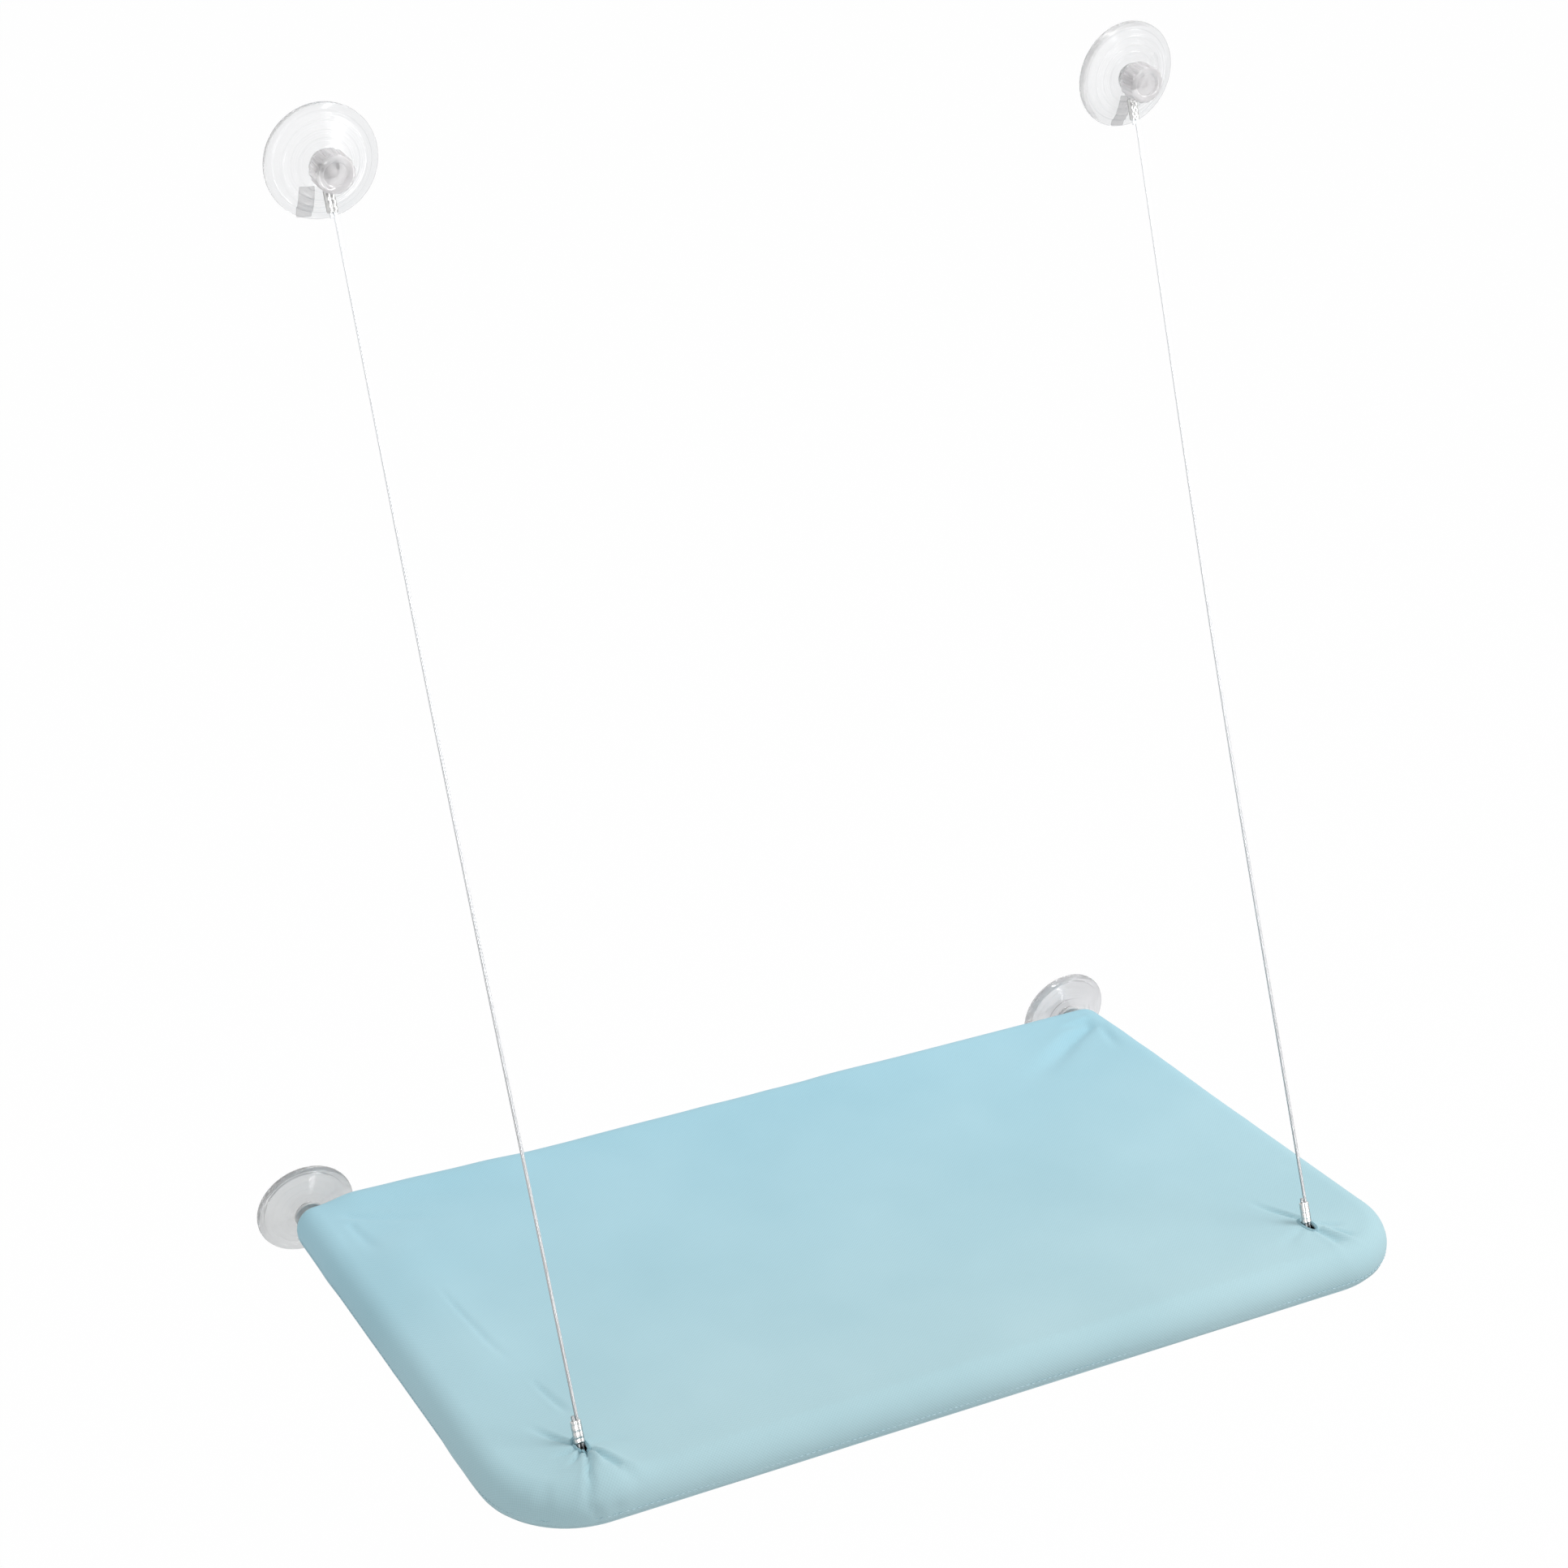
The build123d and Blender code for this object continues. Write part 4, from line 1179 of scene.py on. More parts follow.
@dataclass
class ThumbNuts(SubAssembly):
    """The two clear ribbed nuts that clamp the loops."""

    back: float = 10.9
    radius: float = 10.5
    length: float = 12.0
    ribs: int = 16
    flute: float = 1.0
    edge: float = 1.2
    dish_radius: float = 6.5
    dish_depth: float = 0.8
    bore_radius: float = 2.56
    bore_depth: float = 10.0

    def __post_init__(self) -> None:
        """Makes the rib recipe."""
        self.recipe = knob_rib_recipe()

    def build(self) -> None:
        """Makes both nuts."""
        for side, carrier in ((Side.LEFT, Carrier.NUT_LEFT), (Side.RIGHT, Carrier.NUT_RIGHT)):
            self.nut(side, carrier)

    def profile(self) -> list[tuple[float, float]]:
        """Draws the nut's half section from the bore's blind end round the outside to the dish.

        Returns:
            The radius and height of each point.
        """
        r, top, edge = self.radius, self.length, self.edge
        bore = [(0, self.bore_depth), (self.bore_radius, self.bore_depth - 0.6), (self.bore_radius, 0)]
        turns = [math.pi / 2 * k / 6 for k in range(7)]
        foot = [(r - edge + edge * math.sin(a), edge - edge * math.cos(a)) for a in turns]
        barrel = [(r, edge + (top - 2 * edge) * k / 6) for k in range(1, 6)]
        head = [(r - edge + edge * math.cos(a), top - edge + edge * math.sin(a)) for a in turns]
        dish = [(self.dish_radius + 0.3, top), (self.dish_radius, top - 0.25),
                (self.dish_radius - 0.5, top - self.dish_depth), (0, top - self.dish_depth)]
        return bore + foot + barrel + head + dish

    def nut(self, side: Side, carrier: Carrier) -> None:
        """Makes one nut: a turned barrel, its ribs pressed in by the recipe, stood on its stud.

        Args:
            side: The side that it is on.
            carrier: The body it moves with.
        """
        points, faces = lathe(self.profile(), self.ribs * 12)
        sizes = {"Barrel Radius": self.radius * MM, "Flute Depth": self.flute * MM, "Rib Count": float(self.ribs),
                 "Lowest": 0.3 * MM, "Highest": (self.length - 0.3) * MM}
        piece = self.recipe.bake("ribbed_nut_" + side.label, mesh_of("nut_base", points, faces), sizes, NUT_STYRENE)
        stand = Matrix.Translation((side.value * UPPER_X * MM, -self.back * MM, UPPER_Z * MM))
        piece.data.transform(stand @ Matrix.Rotation(math.pi / 2, 4, "X"))
        close_up(piece.data, 45)
        self.keep(piece, carrier, Slot.KNOB, "thumb_nut_" + side.label)


@dataclass
class SteelFittings(SubAssembly):
    """Studs, washers, hex nuts, hinge straps and pins: the frame's own solids, smoothed and plated."""

    def build(self) -> None:
        """Refines every steel fitting."""
        for side in Side:
            name = side.label
            self.refine("washer_" + name, "flat_washer_" + name, Carrier.GLASS, ZINC_STEEL)
            self.refine("hex_nut_" + name, "plain_nut_" + name, Carrier.GLASS, ZINC_STEEL)
            self.refine("hinge_strap_" + name, "bent_strap_" + name, Carrier.GLASS, ZINC_STEEL)
            self.refine("hinge_pin_" + name, "cross_pin_" + name, Carrier.BED, ZINC_STEEL)
            for level in ("lower", "upper"):
                self.refine("stud_" + level + "_" + name, "cup_stud_" + level + "_" + name, Carrier.GLASS, STUD_STEEL)

    def refine(self, node: str, name: str, carrier: Carrier, finish: Finish) -> None:
        """Makes a smooth, plated copy of a CAD node and lets it stand for the node.

        Args:
            node: The CAD node.
            name: The new piece's name.
            carrier: The body it moves with.
            finish: Its plating.
        """
        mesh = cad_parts[node].data.copy()
        mesh.materials.clear()
        mesh.materials.append(finish.material())
        close_up(mesh, 30)
        self.keep(put(name, mesh), carrier, Slot.STEEL, node)


@dataclass
class HiddenFrame(SubAssembly):
    """The tubes and corner pieces under the cloth, which keep their CAD shape and get their finish."""

    def build(self) -> None:
        """Dresses each node of the hidden frame."""
        tubes = ["rear_tube", "front_tube", "side_tube_left", "side_tube_right"]
        corners = [end + side.label for end in ("rear_corner_", "front_corner_") for side in Side]
        for names, finish in ((tubes, TUBE_POWDER), (corners, CORNER_NYLON)):
            for name in names:
                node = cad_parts[name]
                node.data.materials.clear()
                node.data.materials.append(finish.material())
                log.info("%s keeps its shape", name)


def gap_to(outline: np.ndarray, places: np.ndarray) -> np.ndarray:
    """How far each place is from the nearest point of an outline."""
    return np.min(np.hypot(*(places[:, None, axis] - outline[None, :, axis] for axis in (0, 1))), 1)


@dataclass(frozen=True)
class Fold:
    """One fold of the cloth along a line on the flat cut, in millimetres.

    The fold is a valley for a positive depth and a ridge for a negative one. It runs out over a share
    of its line at either end. A lean makes one flank steeper, and the lobes are the soft ridges that a
    valley pushes up beside it.
    """

    line: tuple[tuple[float, float], ...]
    depth: float
    width: float
    lean: float = 0.0
    rise: float = 0.02
    runout: float = 0.6
    lobes: float = 0.8
    spread: float = 0.9

    def nearest(self, u: np.ndarray, v: np.ndarray) -> tuple[np.ndarray, np.ndarray, np.ndarray]:
        """Finds the nearest point of the fold's line.

        Args:
            u: Places across the bed.
            v: Places along it, as distances in front of the hinge line.

        Returns:
            The distance to the line, the share of the line passed there, and the distance with a side.
        """
        nodes = np.array(self.line, float)
        runs = np.linalg.norm(np.diff(nodes, axis=0), axis=1)
        total, passed = runs.sum(), 0.0
        near = np.full(u.shape, 1e9)
        at = np.zeros(u.shape)
        signed = np.zeros(u.shape)
        for a, b, run in zip(nodes[:-1], nodes[1:], runs):
            way = (b - a) / run
            t = np.clip((u - a[0]) * way[0] + (v - a[1]) * way[1], 0, run)
            du, dv = u - a[0] - t * way[0], v - a[1] - t * way[1]
            gap = np.hypot(du, dv)
            closer = gap < near
            near = np.where(closer, gap, near)
            at = np.where(closer, (passed + t) / total, at)
            signed = np.where(closer, du * way[1] - dv * way[0], signed)
            passed += run
        return near, at, signed

    def height(self, u: np.ndarray, v: np.ndarray) -> np.ndarray:
        """Measures how far the fold moves the cloth outwards.

        Args:
            u: Places across the bed.
            v: Places along it, as distances in front of the hinge line.

        Returns:
            The heights, less than zero inwards.
        """
        near, at, signed = self.nearest(u, v)
        width = self.width * (1 - self.spread / 2 + self.spread * at)
        q = (near / width) ** 2
        start, end = np.clip(at / self.rise, 0, 1), np.clip((1 - at) / self.runout, 0, 1)
        fade = start * start * (3 - 2 * start) * end * end * (3 - 2 * end)
        shape = (1 - self.lobes * q) * np.exp(-q) + self.lean * signed / width * np.exp(-q)
        return -self.depth * fade * shape


@dataclass
class ClothCover(SubAssembly):
    """The cloth cover: the top cloth with its folds, the lower cloth, the flap, tapes, bindings and seams."""

    bed: BedFrame
    inner: float = 12.3
    thick: float = 1.2
    tube_radius: float = 12.0
    play: float = 0.12
    looseness: float = 0.8
    # sizes of the broad and the small swells of the loose cloth
    swell: float = 60.0
    ripple: float = 24.0
    ripple_share: float = 0.45
    sag: float = 8.0
    seam_deg: float = -30.0
    coarse: float = 4.6
    fine: float = 1.7
    fine_reach: float = 44.0
    crease_step: float = 2.3
    crease_reach: float = 11.0
    slit_x: float = 227.19
    slit_depth: float = 302.6
    slit_length: float = 14.0
    slit_width: float = 5.0
    tent: float = 1.5
    tent_reach: float = 20.0
    seam_ridge: float = 0.5
    seam_reach: float = 1.6
    slot_half: float = 5.2
    slot_front: float = 1.5
    slot_top: float = 4.5
    binding_width: float = 1.8
    binding_height: float = 0.9
    # how far the threads lie above the cloth
    thread_lift: float = 0.12
    whip_pitch: float = 0.75
    whip_radius: float = 0.3
    stitch_pitch: float = 3.4
    stitch_length: float = 2.5
    stitch_radius: float = 0.28
    # the stitches run this far above the seam, as an angle round the tube
    stitch_deg: float = 14.0
    flap_inset: float = 28.5
    flap_rise: float = 3.0
    flap_reach: float = 34.0
    tape_inset: float = 34.5
    tape_width: float = 16.0
    tape_thick: float = 0.6
    tape_rear: float = 14.0
    # share of the full rectangle that is left when the corners of a panel are cut
    corner_share: float = 0.96
    folds: tuple[Fold, ...] = (
        # front left: the crease that runs back from the slit, the facet towards the front edge and short puckers
        Fold(((-229.0, 301.0), (-232.0, 297.0), (-239.5, 281.0), (-245.0, 268.0)), 2.8, 2.4, 0.5, runout=0.8),
        Fold(((-228.0, 306.0), (-223.0, 322.0), (-216.0, 352.0)), -3.4, 17.0, -0.5, rise=0.3, runout=0.3, lobes=0.0,
             spread=0.3),
        Fold(((-224.5, 308.0), (-222.0, 315.0), (-217.0, 330.0), (-209.0, 348.0)), 2.6, 3.4, -0.9),
        Fold(((-227.0, 309.0), (-229.5, 318.0), (-237.0, 336.0), (-247.0, 352.0)), 2.6, 2.4, 0.6),
        Fold(((-225.5, 309.0), (-225.0, 320.0), (-228.0, 334.0)), -1.6, 2.0, 0.3),
        Fold(((-229.5, 308.0), (-235.0, 314.0), (-243.0, 319.0)), 1.8, 2.0, 0.4),
        Fold(((-230.0, 304.5), (-237.0, 306.0), (-246.0, 305.0)), 1.5, 2.2, -0.4),
        Fold(((-222.0, 303.0), (-212.0, 304.0), (-198.0, 309.0)), 0.7, 4.5),
        Fold(((-240.0, 342.0), (-238.0, 353.0), (-240.0, 366.0)), 1.9, 3.0, 0.6, rise=0.3),
        Fold(((-226.0, 344.0), (-224.0, 356.0), (-221.0, 366.0)), 1.2, 3.4, -0.5, rise=0.3),
        Fold(((-254.0, 322.0), (-263.0, 334.0), (-272.0, 346.0)), 1.2, 5.0, rise=0.3),
        # the broad soft roll along the left tube and the creases at its inner edge
        Fold(((-243.0, 40.0), (-244.0, 120.0), (-242.0, 200.0), (-238.0, 262.0)), -3.2, 21.0, rise=0.2, runout=0.3,
             lobes=0.0, spread=0.2),
        Fold(((-236.0, 112.0), (-236.0, 130.0), (-233.0, 187.0), (-228.0, 222.0)), 1.2, 2.6, 0.6, rise=0.3,
             runout=0.4),
        Fold(((-226.0, 228.0), (-223.0, 252.0), (-220.0, 274.0)), 1.5, 2.4, 0.6, rise=0.3, runout=0.4),
        # rear left: the cloth stands off the tube at the corner, and creases run in from it
        Fold(((-268.0, -2.0), (-225.0, -2.0), (-150.0, 0.0), (-80.0, 2.0)), -3.4, 13.0, rise=0.14, runout=0.9,
             lobes=0.0, spread=0.0),
        Fold(((-259.0, 14.0), (-242.0, 26.0), (-214.0, 40.0), (-190.0, 48.0)), 1.2, 5.5, 0.4, rise=0.1),
        Fold(((-256.0, 24.0), (-254.0, 44.0), (-252.0, 76.0)), 1.1, 4.5, rise=0.1),
        # front right: the wavy crease that runs back, the dimple and the streaks towards the corner
        Fold(((230.0, 299.0), (227.5, 291.0), (224.0, 281.0), (218.5, 268.0), (216.5, 255.0)), 2.8, 2.2, 0.5,
             runout=0.8),
        Fold(((233.0, 304.0), (239.5, 308.5), (248.0, 312.0)), 1.6, 2.4, 0.3),
        Fold(((228.5, 310.0), (231.5, 325.0), (233.5, 347.0)), 2.0, 4.2, 0.8),
        Fold(((231.5, 309.0), (238.0, 322.0), (244.0, 334.0)), -1.5, 2.8, 0.3),
        Fold(((236.0, 314.0), (247.0, 329.0), (256.0, 338.0)), 1.8, 3.2, 0.5),
        Fold(((222.0, 305.0), (210.0, 310.0), (198.0, 318.0)), 0.8, 5.0),
        # rear right: the deep pull from the corner and the broad hollow that it opens into
        Fold(((273.0, 14.0), (258.0, 18.0), (235.0, 31.0), (205.0, 52.0), (180.0, 66.0)), 3.4, 8.5, 0.5, rise=0.05),
        Fold(((271.0, 10.0), (254.0, 12.5), (234.0, 17.0)), 2.0, 3.4, 0.5, rise=0.05),
        Fold(((268.0, 16.0), (262.0, 36.0), (256.0, 64.0)), 1.5, 4.0, -0.5, rise=0.1),
    )

    def __post_init__(self) -> None:
        """Works out the cloth's outer radius on the tubes and makes the stitch recipe."""
        self.outer = self.inner + self.thick
        self.stitches = stitch_recipe()

    def build(self) -> None:
        """Makes every piece of the cover."""
        self.top_cloth()
        self.lower_cloth()
        self.rear_flap()
        self.tapes()
        self.seam_stitches()
        for side in Side:
            self.binding(side)

    def stations(self, step: float) -> list[tuple[float, float, float, float]]:
        """The outline along the tube centres: x, y and the way outwards, in order round the bed.

        Args:
            step: About how far apart the stations lie.

        Returns:
            Points with outward directions; a square rear corner has one point with several directions.
        """
        hw, depth, bend = self.bed.half_width, self.bed.depth, self.bed.bend
        # the stations lie closer round the front corners
        bent = round(bend * math.pi / 2 / step * 1.6)
        made = []

        def straight(ax: float, ay: float, bx: float, by: float, nx: float, ny: float) -> None:
            """Adds the stations of a straight run, without its last point."""
            count = max(2, round(math.hypot(bx - ax, by - ay) / step))
            made.extend((ax + (bx - ax) * i / count, ay + (by - ay) * i / count, nx, ny) for i in range(count))

        def turned(cx: float, cy: float, radius: float, start: float, count: int) -> None:
            """Adds the stations of a quarter turn clockwise, without its last point."""
            angles = [math.radians(start - 90 * i / count) for i in range(count)]
            made.extend((cx + radius * math.cos(a), cy + radius * math.sin(a), math.cos(a), math.sin(a))
                        for a in angles)

        straight(hw, 0, hw, bend - depth, 1, 0)
        turned(hw - bend, bend - depth, bend, 0, bent)
        straight(hw - bend, -depth, bend - hw, -depth, 0, -1)
        turned(bend - hw, bend - depth, bend, -90, bent)
        straight(-hw, bend - depth, -hw, 0, -1, 0)
        turned(-hw, 0, 0, 180, 12)
        straight(-hw, 0, hw, 0, 0, 1)
        turned(hw, 0, 0, 90, 12)
        return made

    def drop(self, u: np.ndarray, v: np.ndarray) -> np.ndarray:
        """Measures how far the top cloth hangs below its edges.

        Args:
            u: Places across the flat cut.
            v: Places down it, from the rear edge.

        Returns:
            The depths.
        """
        across = np.clip(1 - (u / self.bed.half_width) ** 2, 0, 1)
        along = np.clip(1 - (2 * v / self.bed.depth - 1) ** 2, 0, 1)
        return self.sag * across * along

    def relief(self, u: np.ndarray, v: np.ndarray) -> np.ndarray:
        """Adds up the folds, the tents at the slits and the slight looseness of the cloth.

        Args:
            u: Places across the flat cut.
            v: Places down it, from the rear edge.

        Returns:
            The heights, outwards.
        """
        total = sum((fold.height(u, v) for fold in self.folds), np.zeros(u.shape))
        for side in Side:
            reach = np.hypot(u - side.value * self.slit_x, v - self.slit_depth)
            total += self.tent * np.exp(-(reach / self.tent_reach) ** 2)
        swells = np.array([noise.noise(Vector((a / self.swell, b / self.swell, 3.7))) for a, b in zip(u, v)])
        ripples = np.array([noise.noise(Vector((a / self.ripple, b / self.ripple, 9.1))) for a, b in zip(u, v)])
        return total + self.looseness * (swells + self.ripple_share * ripples)

    def clearance(self, u: np.ndarray, v: np.ndarray) -> np.ndarray:
        """Measures how far the cloth can move inwards before it lies on a tube.

        Args:
            u: Places across the flat cut.
            v: Places down it, from the rear edge.

        Returns:
            The distances.
        """
        hw, depth, bend = self.bed.half_width, self.bed.depth, self.bed.bend
        x, y = np.abs(u), v
        straight = np.minimum(np.minimum(hw - x, depth - y), y)
        corner = (x > hw - bend) & (y > depth - bend)
        inside = np.where(corner, bend - np.hypot(x - (hw - bend), y - (depth - bend)), straight)
        gap = self.inner - np.sqrt(np.clip(self.tube_radius ** 2 - np.clip(inside, 0, None) ** 2, 0, None))
        return gap - self.play

    def panel_points(self, outline: np.ndarray) -> list[tuple[float, float]]:
        """Places inside the outline, closer together round the slits.

        Args:
            outline: The outline's own points.

        Returns:
            The inner places.
        """
        hw, depth = self.bed.half_width, self.bed.depth
        made = []
        for spacing in (self.coarse, self.crease_step, self.fine):
            rows = []
            # rows this far apart make even triangles
            for j, y in enumerate(np.arange(0, depth, spacing * 0.866)):
                xs = np.arange(-hw + (spacing / 2 if j % 2 else 0), hw, spacing)
                rows.append(np.stack([xs, np.full(len(xs), -y)], 1))
            grid = np.concatenate(rows)
            made.append(grid[self.spacing_at(grid) == spacing])
        places = np.concatenate(made)
        edge = gap_to(outline, places)
        slit = self.slit_gap(places[:, 0], places[:, 1])
        keep = self.inside(places, 0.0) & (edge > 0.6 * self.spacing_at(places)) & (slit > 0.7)
        return [tuple(p) for p in places[keep]]

    def spacing_at(self, places: np.ndarray) -> np.ndarray:
        """Spaces the cloth's points: closest round the slits, closer along the folds.

        Args:
            places: Places on the level bed.

        Returns:
            The spacing at each.
        """
        reach = np.hypot(np.abs(places[:, 0]) - self.slit_x, places[:, 1] + self.slit_depth)
        lines = [fold.nearest(places[:, 0], -places[:, 1])[0] for fold in self.folds if fold.lobes > 0]
        spacing = np.where(np.min(lines, axis=0) < self.crease_reach, self.crease_step, self.coarse)
        return np.where(reach < self.fine_reach, self.fine, spacing)

    def inside(self, places: np.ndarray, margin: float) -> np.ndarray:
        """Tells which places lie inside the outline along the tube centres.

        Args:
            places: Places on the level bed.
            margin: The distance to keep from the outline.

        Returns:
            True for each that does.
        """
        hw, depth, bend = self.bed.half_width, self.bed.depth, self.bed.bend
        x, y = np.abs(places[:, 0]), -places[:, 1]
        square = (x < hw - margin) & (y > margin) & (y < depth - margin)
        corner = (x > hw - bend) & (y > depth - bend)
        rounded = np.hypot(x - (hw - bend), y - (depth - bend)) < bend - margin
        return square & (~corner | rounded)

    def slit_gap(self, x: np.ndarray, y: np.ndarray) -> np.ndarray:
        """About the distance to the edge of the nearer slit, less than zero inside it."""
        across, along = (np.abs(x) - self.slit_x) * 2 / self.slit_width, (y + self.slit_depth) * 2 / self.slit_length
        return (np.hypot(across, along) - 1) * self.slit_width / 2

    def slit_outline(self, side: Side, count: int, grow: float = 0.0) -> list[tuple[float, float]]:
        """Draws one slit on the level bed: pulled open, it is a long oval that runs front to back.

        Args:
            side: The side that the slit is on.
            count: How many points to make.
            grow: How far outside the slit's edge they lie.

        Returns:
            The points.
        """
        cx, cy = side.value * self.slit_x, -self.slit_depth
        turns = [2 * math.pi * k / count for k in range(count)]
        across, along = self.slit_width / 2 + grow, self.slit_length / 2 + grow
        return [(cx + across * math.cos(a), cy + along * math.sin(a)) for a in turns]

    def sheet(self, step: float, low_deg: float, high_deg: float, rows: int, inner: list[tuple[float, float]],
              holes: list[list[tuple[float, float]]]) -> tuple[np.ndarray, list[list[int]], np.ndarray, np.ndarray]:
        """Makes a flat panel with its wrap over the tubes, as the outer surface of the cloth.

        Args:
            step: The distance between the outline's stations.
            low_deg: The end of the wrap, as an angle above the tubes' plane.
            high_deg: Where the wrap meets the panel, 90 for the top and -90 for the bottom.
            rows: How many rows of faces the wrap has.
            inner: Places inside the panel.
            holes: Outlines of holes.

        Returns:
            Points on the level bed, faces, places on the flat cut and directions outwards.
        """
        stations = self.stations(step)
        unique, of_station = [], []
        for x, y, nx, ny in stations:
            if not unique or math.hypot(unique[-1][0] - x, unique[-1][1] - y) > 1e-6:
                unique.append((x, y))
            of_station.append(len(unique) - 1)
        if math.hypot(unique[-1][0] - unique[0][0], unique[-1][1] - unique[0][1]) < 1e-6:
            unique.pop()
            of_station = [i % len(unique) for i in of_station]
        flat = [Vector(p) for p in unique] + [Vector(p) for hole in holes for p in hole] + [Vector(p) for p in inner]
        edges, start = [], len(unique)
        for hole in holes:
            edges += [(start + i, start + (i + 1) % len(hole)) for i in range(len(hole))]
            start += len(hole)
        places, _, triangles, origin, _, _ = delaunay_2d_cdt(flat, edges, [list(range(len(unique)))], 1, 1e-5)
        first = {}
        for index, sources in enumerate(origin):
            for source in sources:
                first[source] = index
        xy = np.array([tuple(p) for p in places])
        sign = 1 if high_deg > 0 else -1
        faces = []
        for t in triangles:
            middle = xy[list(t)].mean(0)
            if not holes or self.slit_gap(middle[:1], middle[1:])[0] > 0:
                faces.append(list(t)[::sign])
        points = [(x, y, sign * self.outer) for x, y in xy]
        cut = [(x, -y) for x, y in xy]
        outwards = [(0, 0, sign)] * len(xy)
        previous = [first[i] for i in of_station]
        count = len(stations)
        for row in range(1, rows + 1):
            a = math.radians(high_deg + (low_deg - high_deg) * row / rows)
            run = self.outer * abs(math.radians(high_deg) - a)
            current = []
            for x, y, nx, ny in stations:
                current.append(len(points))
                way = (nx * math.cos(a), ny * math.cos(a), math.sin(a))
                points.append((x + self.outer * way[0], y + self.outer * way[1], self.outer * way[2]))
                cut.append((x + nx * run, -(y + ny * run)))
                outwards.append(way)
            for i in range(count):
                j = (i + 1) % count
                quad = [previous[i], previous[j], current[j], current[i]][::sign]
                quad = [q for n, q in enumerate(quad) if q != quad[n - 1]]
                if len(quad) > 2:
                    faces.append(quad)
            previous = current
        return np.array(points), faces, np.array(cut), np.array(outwards)

    def cloth_piece(self, name: str, points: np.ndarray, faces: list[list[int]], cut: np.ndarray) -> Object:
        """Makes a cloth piece from its outer surface: a UV map of the flat cut, strap slots and a thickness.

        Args:
            name: The piece's name.
            points: Points on the level bed.
            faces: Its faces.
            cut: Places on the flat cut.

        Returns:
            The new object.
        """
        mesh = mesh_of(name, points, faces)
        where = mesh.uv_layers.new(name="cut")
        loops = np.zeros(len(mesh.loops), int)
        mesh.loops.foreach_get("vertex_index", loops)
        where.data.foreach_set("uv", (cut[loops] * MM).astype(np.float32).ravel())
        self.strap_slots(mesh)
        placed = self.bed.lay(np.array([tuple(v.co) for v in mesh.vertices]) / MM) * MM
        mesh.vertices.foreach_set("co", placed.astype(np.float32).ravel())
        mesh.update()
        mesh.shade_smooth()
        mesh.materials.append(CLOTH.material())
        piece = put(name, mesh)
        wall = piece.modifiers.new("cloth", "SOLIDIFY")
        wall.thickness = self.thick * MM
        wall.offset = -1.0
        wall.use_even_offset = False
        return piece

    def strap_slots(self, mesh: Mesh) -> None:
        """Cuts the two slots at the rear corners that the hinge straps turn in.

        Args:
            mesh: The cloth, on the level bed.
        """
        work = bmesh.new()
        work.from_mesh(mesh)
        for side in Side:
            middle = side.value * self.bed.half_width
            cuts = (((middle - self.slot_half, 0, 0), (1, 0, 0)), ((middle + self.slot_half, 0, 0), (1, 0, 0)),
                    ((0, self.slot_front, 0), (0, 1, 0)), ((0, 0, self.slot_top), (0, 0, 1)))
            for place, way in cuts:
                near = [f for f in work.faces if self.near_slot(f.calc_center_median() / MM, middle, 6.0)]
                grown = list({g for f in near for g in [f, *f.edges, *f.verts]})
                bmesh.ops.bisect_plane(work, geom=grown, dist=1e-7, plane_co=Vector(place) * MM, plane_no=way)
            gone = [f for f in work.faces if self.near_slot(f.calc_center_median() / MM, middle, 0.0)]
            bmesh.ops.delete(work, geom=gone, context="FACES")
        work.to_mesh(mesh)
        work.free()

    def near_slot(self, place: Vector, middle: float, margin: float) -> bool:
        """Whether a place on the level bed lies in a strap slot, or within a margin of it."""
        return (abs(place.x - middle) < self.slot_half + margin and place.y > self.slot_front - margin
                and place.z < self.slot_top + margin)

    def top_cloth(self) -> None:
        """Makes the top cloth: the sagging panel with its folds, wrapped over the tubes to the seam."""
        outline = np.array([s[:2] for s in self.stations(3.0)])
        holes = [self.slit_outline(side, 36) for side in Side]
        points, faces, cut, outwards = self.sheet(3.0, self.seam_deg, 90.0, 14, self.panel_points(outline), holes)
        u, v = cut[:, 0], cut[:, 1]
        panel = outwards[:, 2] > 0.999
        hang = self.drop(points[:, 0], -points[:, 1]) * panel
        move = np.maximum(self.relief(u, v), -self.clearance(u, v))
        seam = self.outer * math.radians(90 - self.seam_deg)
        run = self.outer * (math.pi / 2 - np.arcsin(np.clip(outwards[:, 2], -1, 1)))
        move += self.seam_ridge * np.exp(-((run - seam) / self.seam_reach) ** 2) * ~panel
        points = points + outwards * move[:, None]
        points[:, 2] -= hang
        piece = self.cloth_piece("top_cloth", points, faces, cut)
        self.keep(piece, Carrier.BED, Slot.CLOTH, "cover_top")
        self.declare(piece, seam)

    def declare(self, piece: Object, wrap: float) -> None:
        """Takes a cloth and how far it wraps, and does nothing with them.

        Args:
            piece: The cloth; not used.
            wrap: How far it runs on round the tubes from above or below their centres; not used.
        """

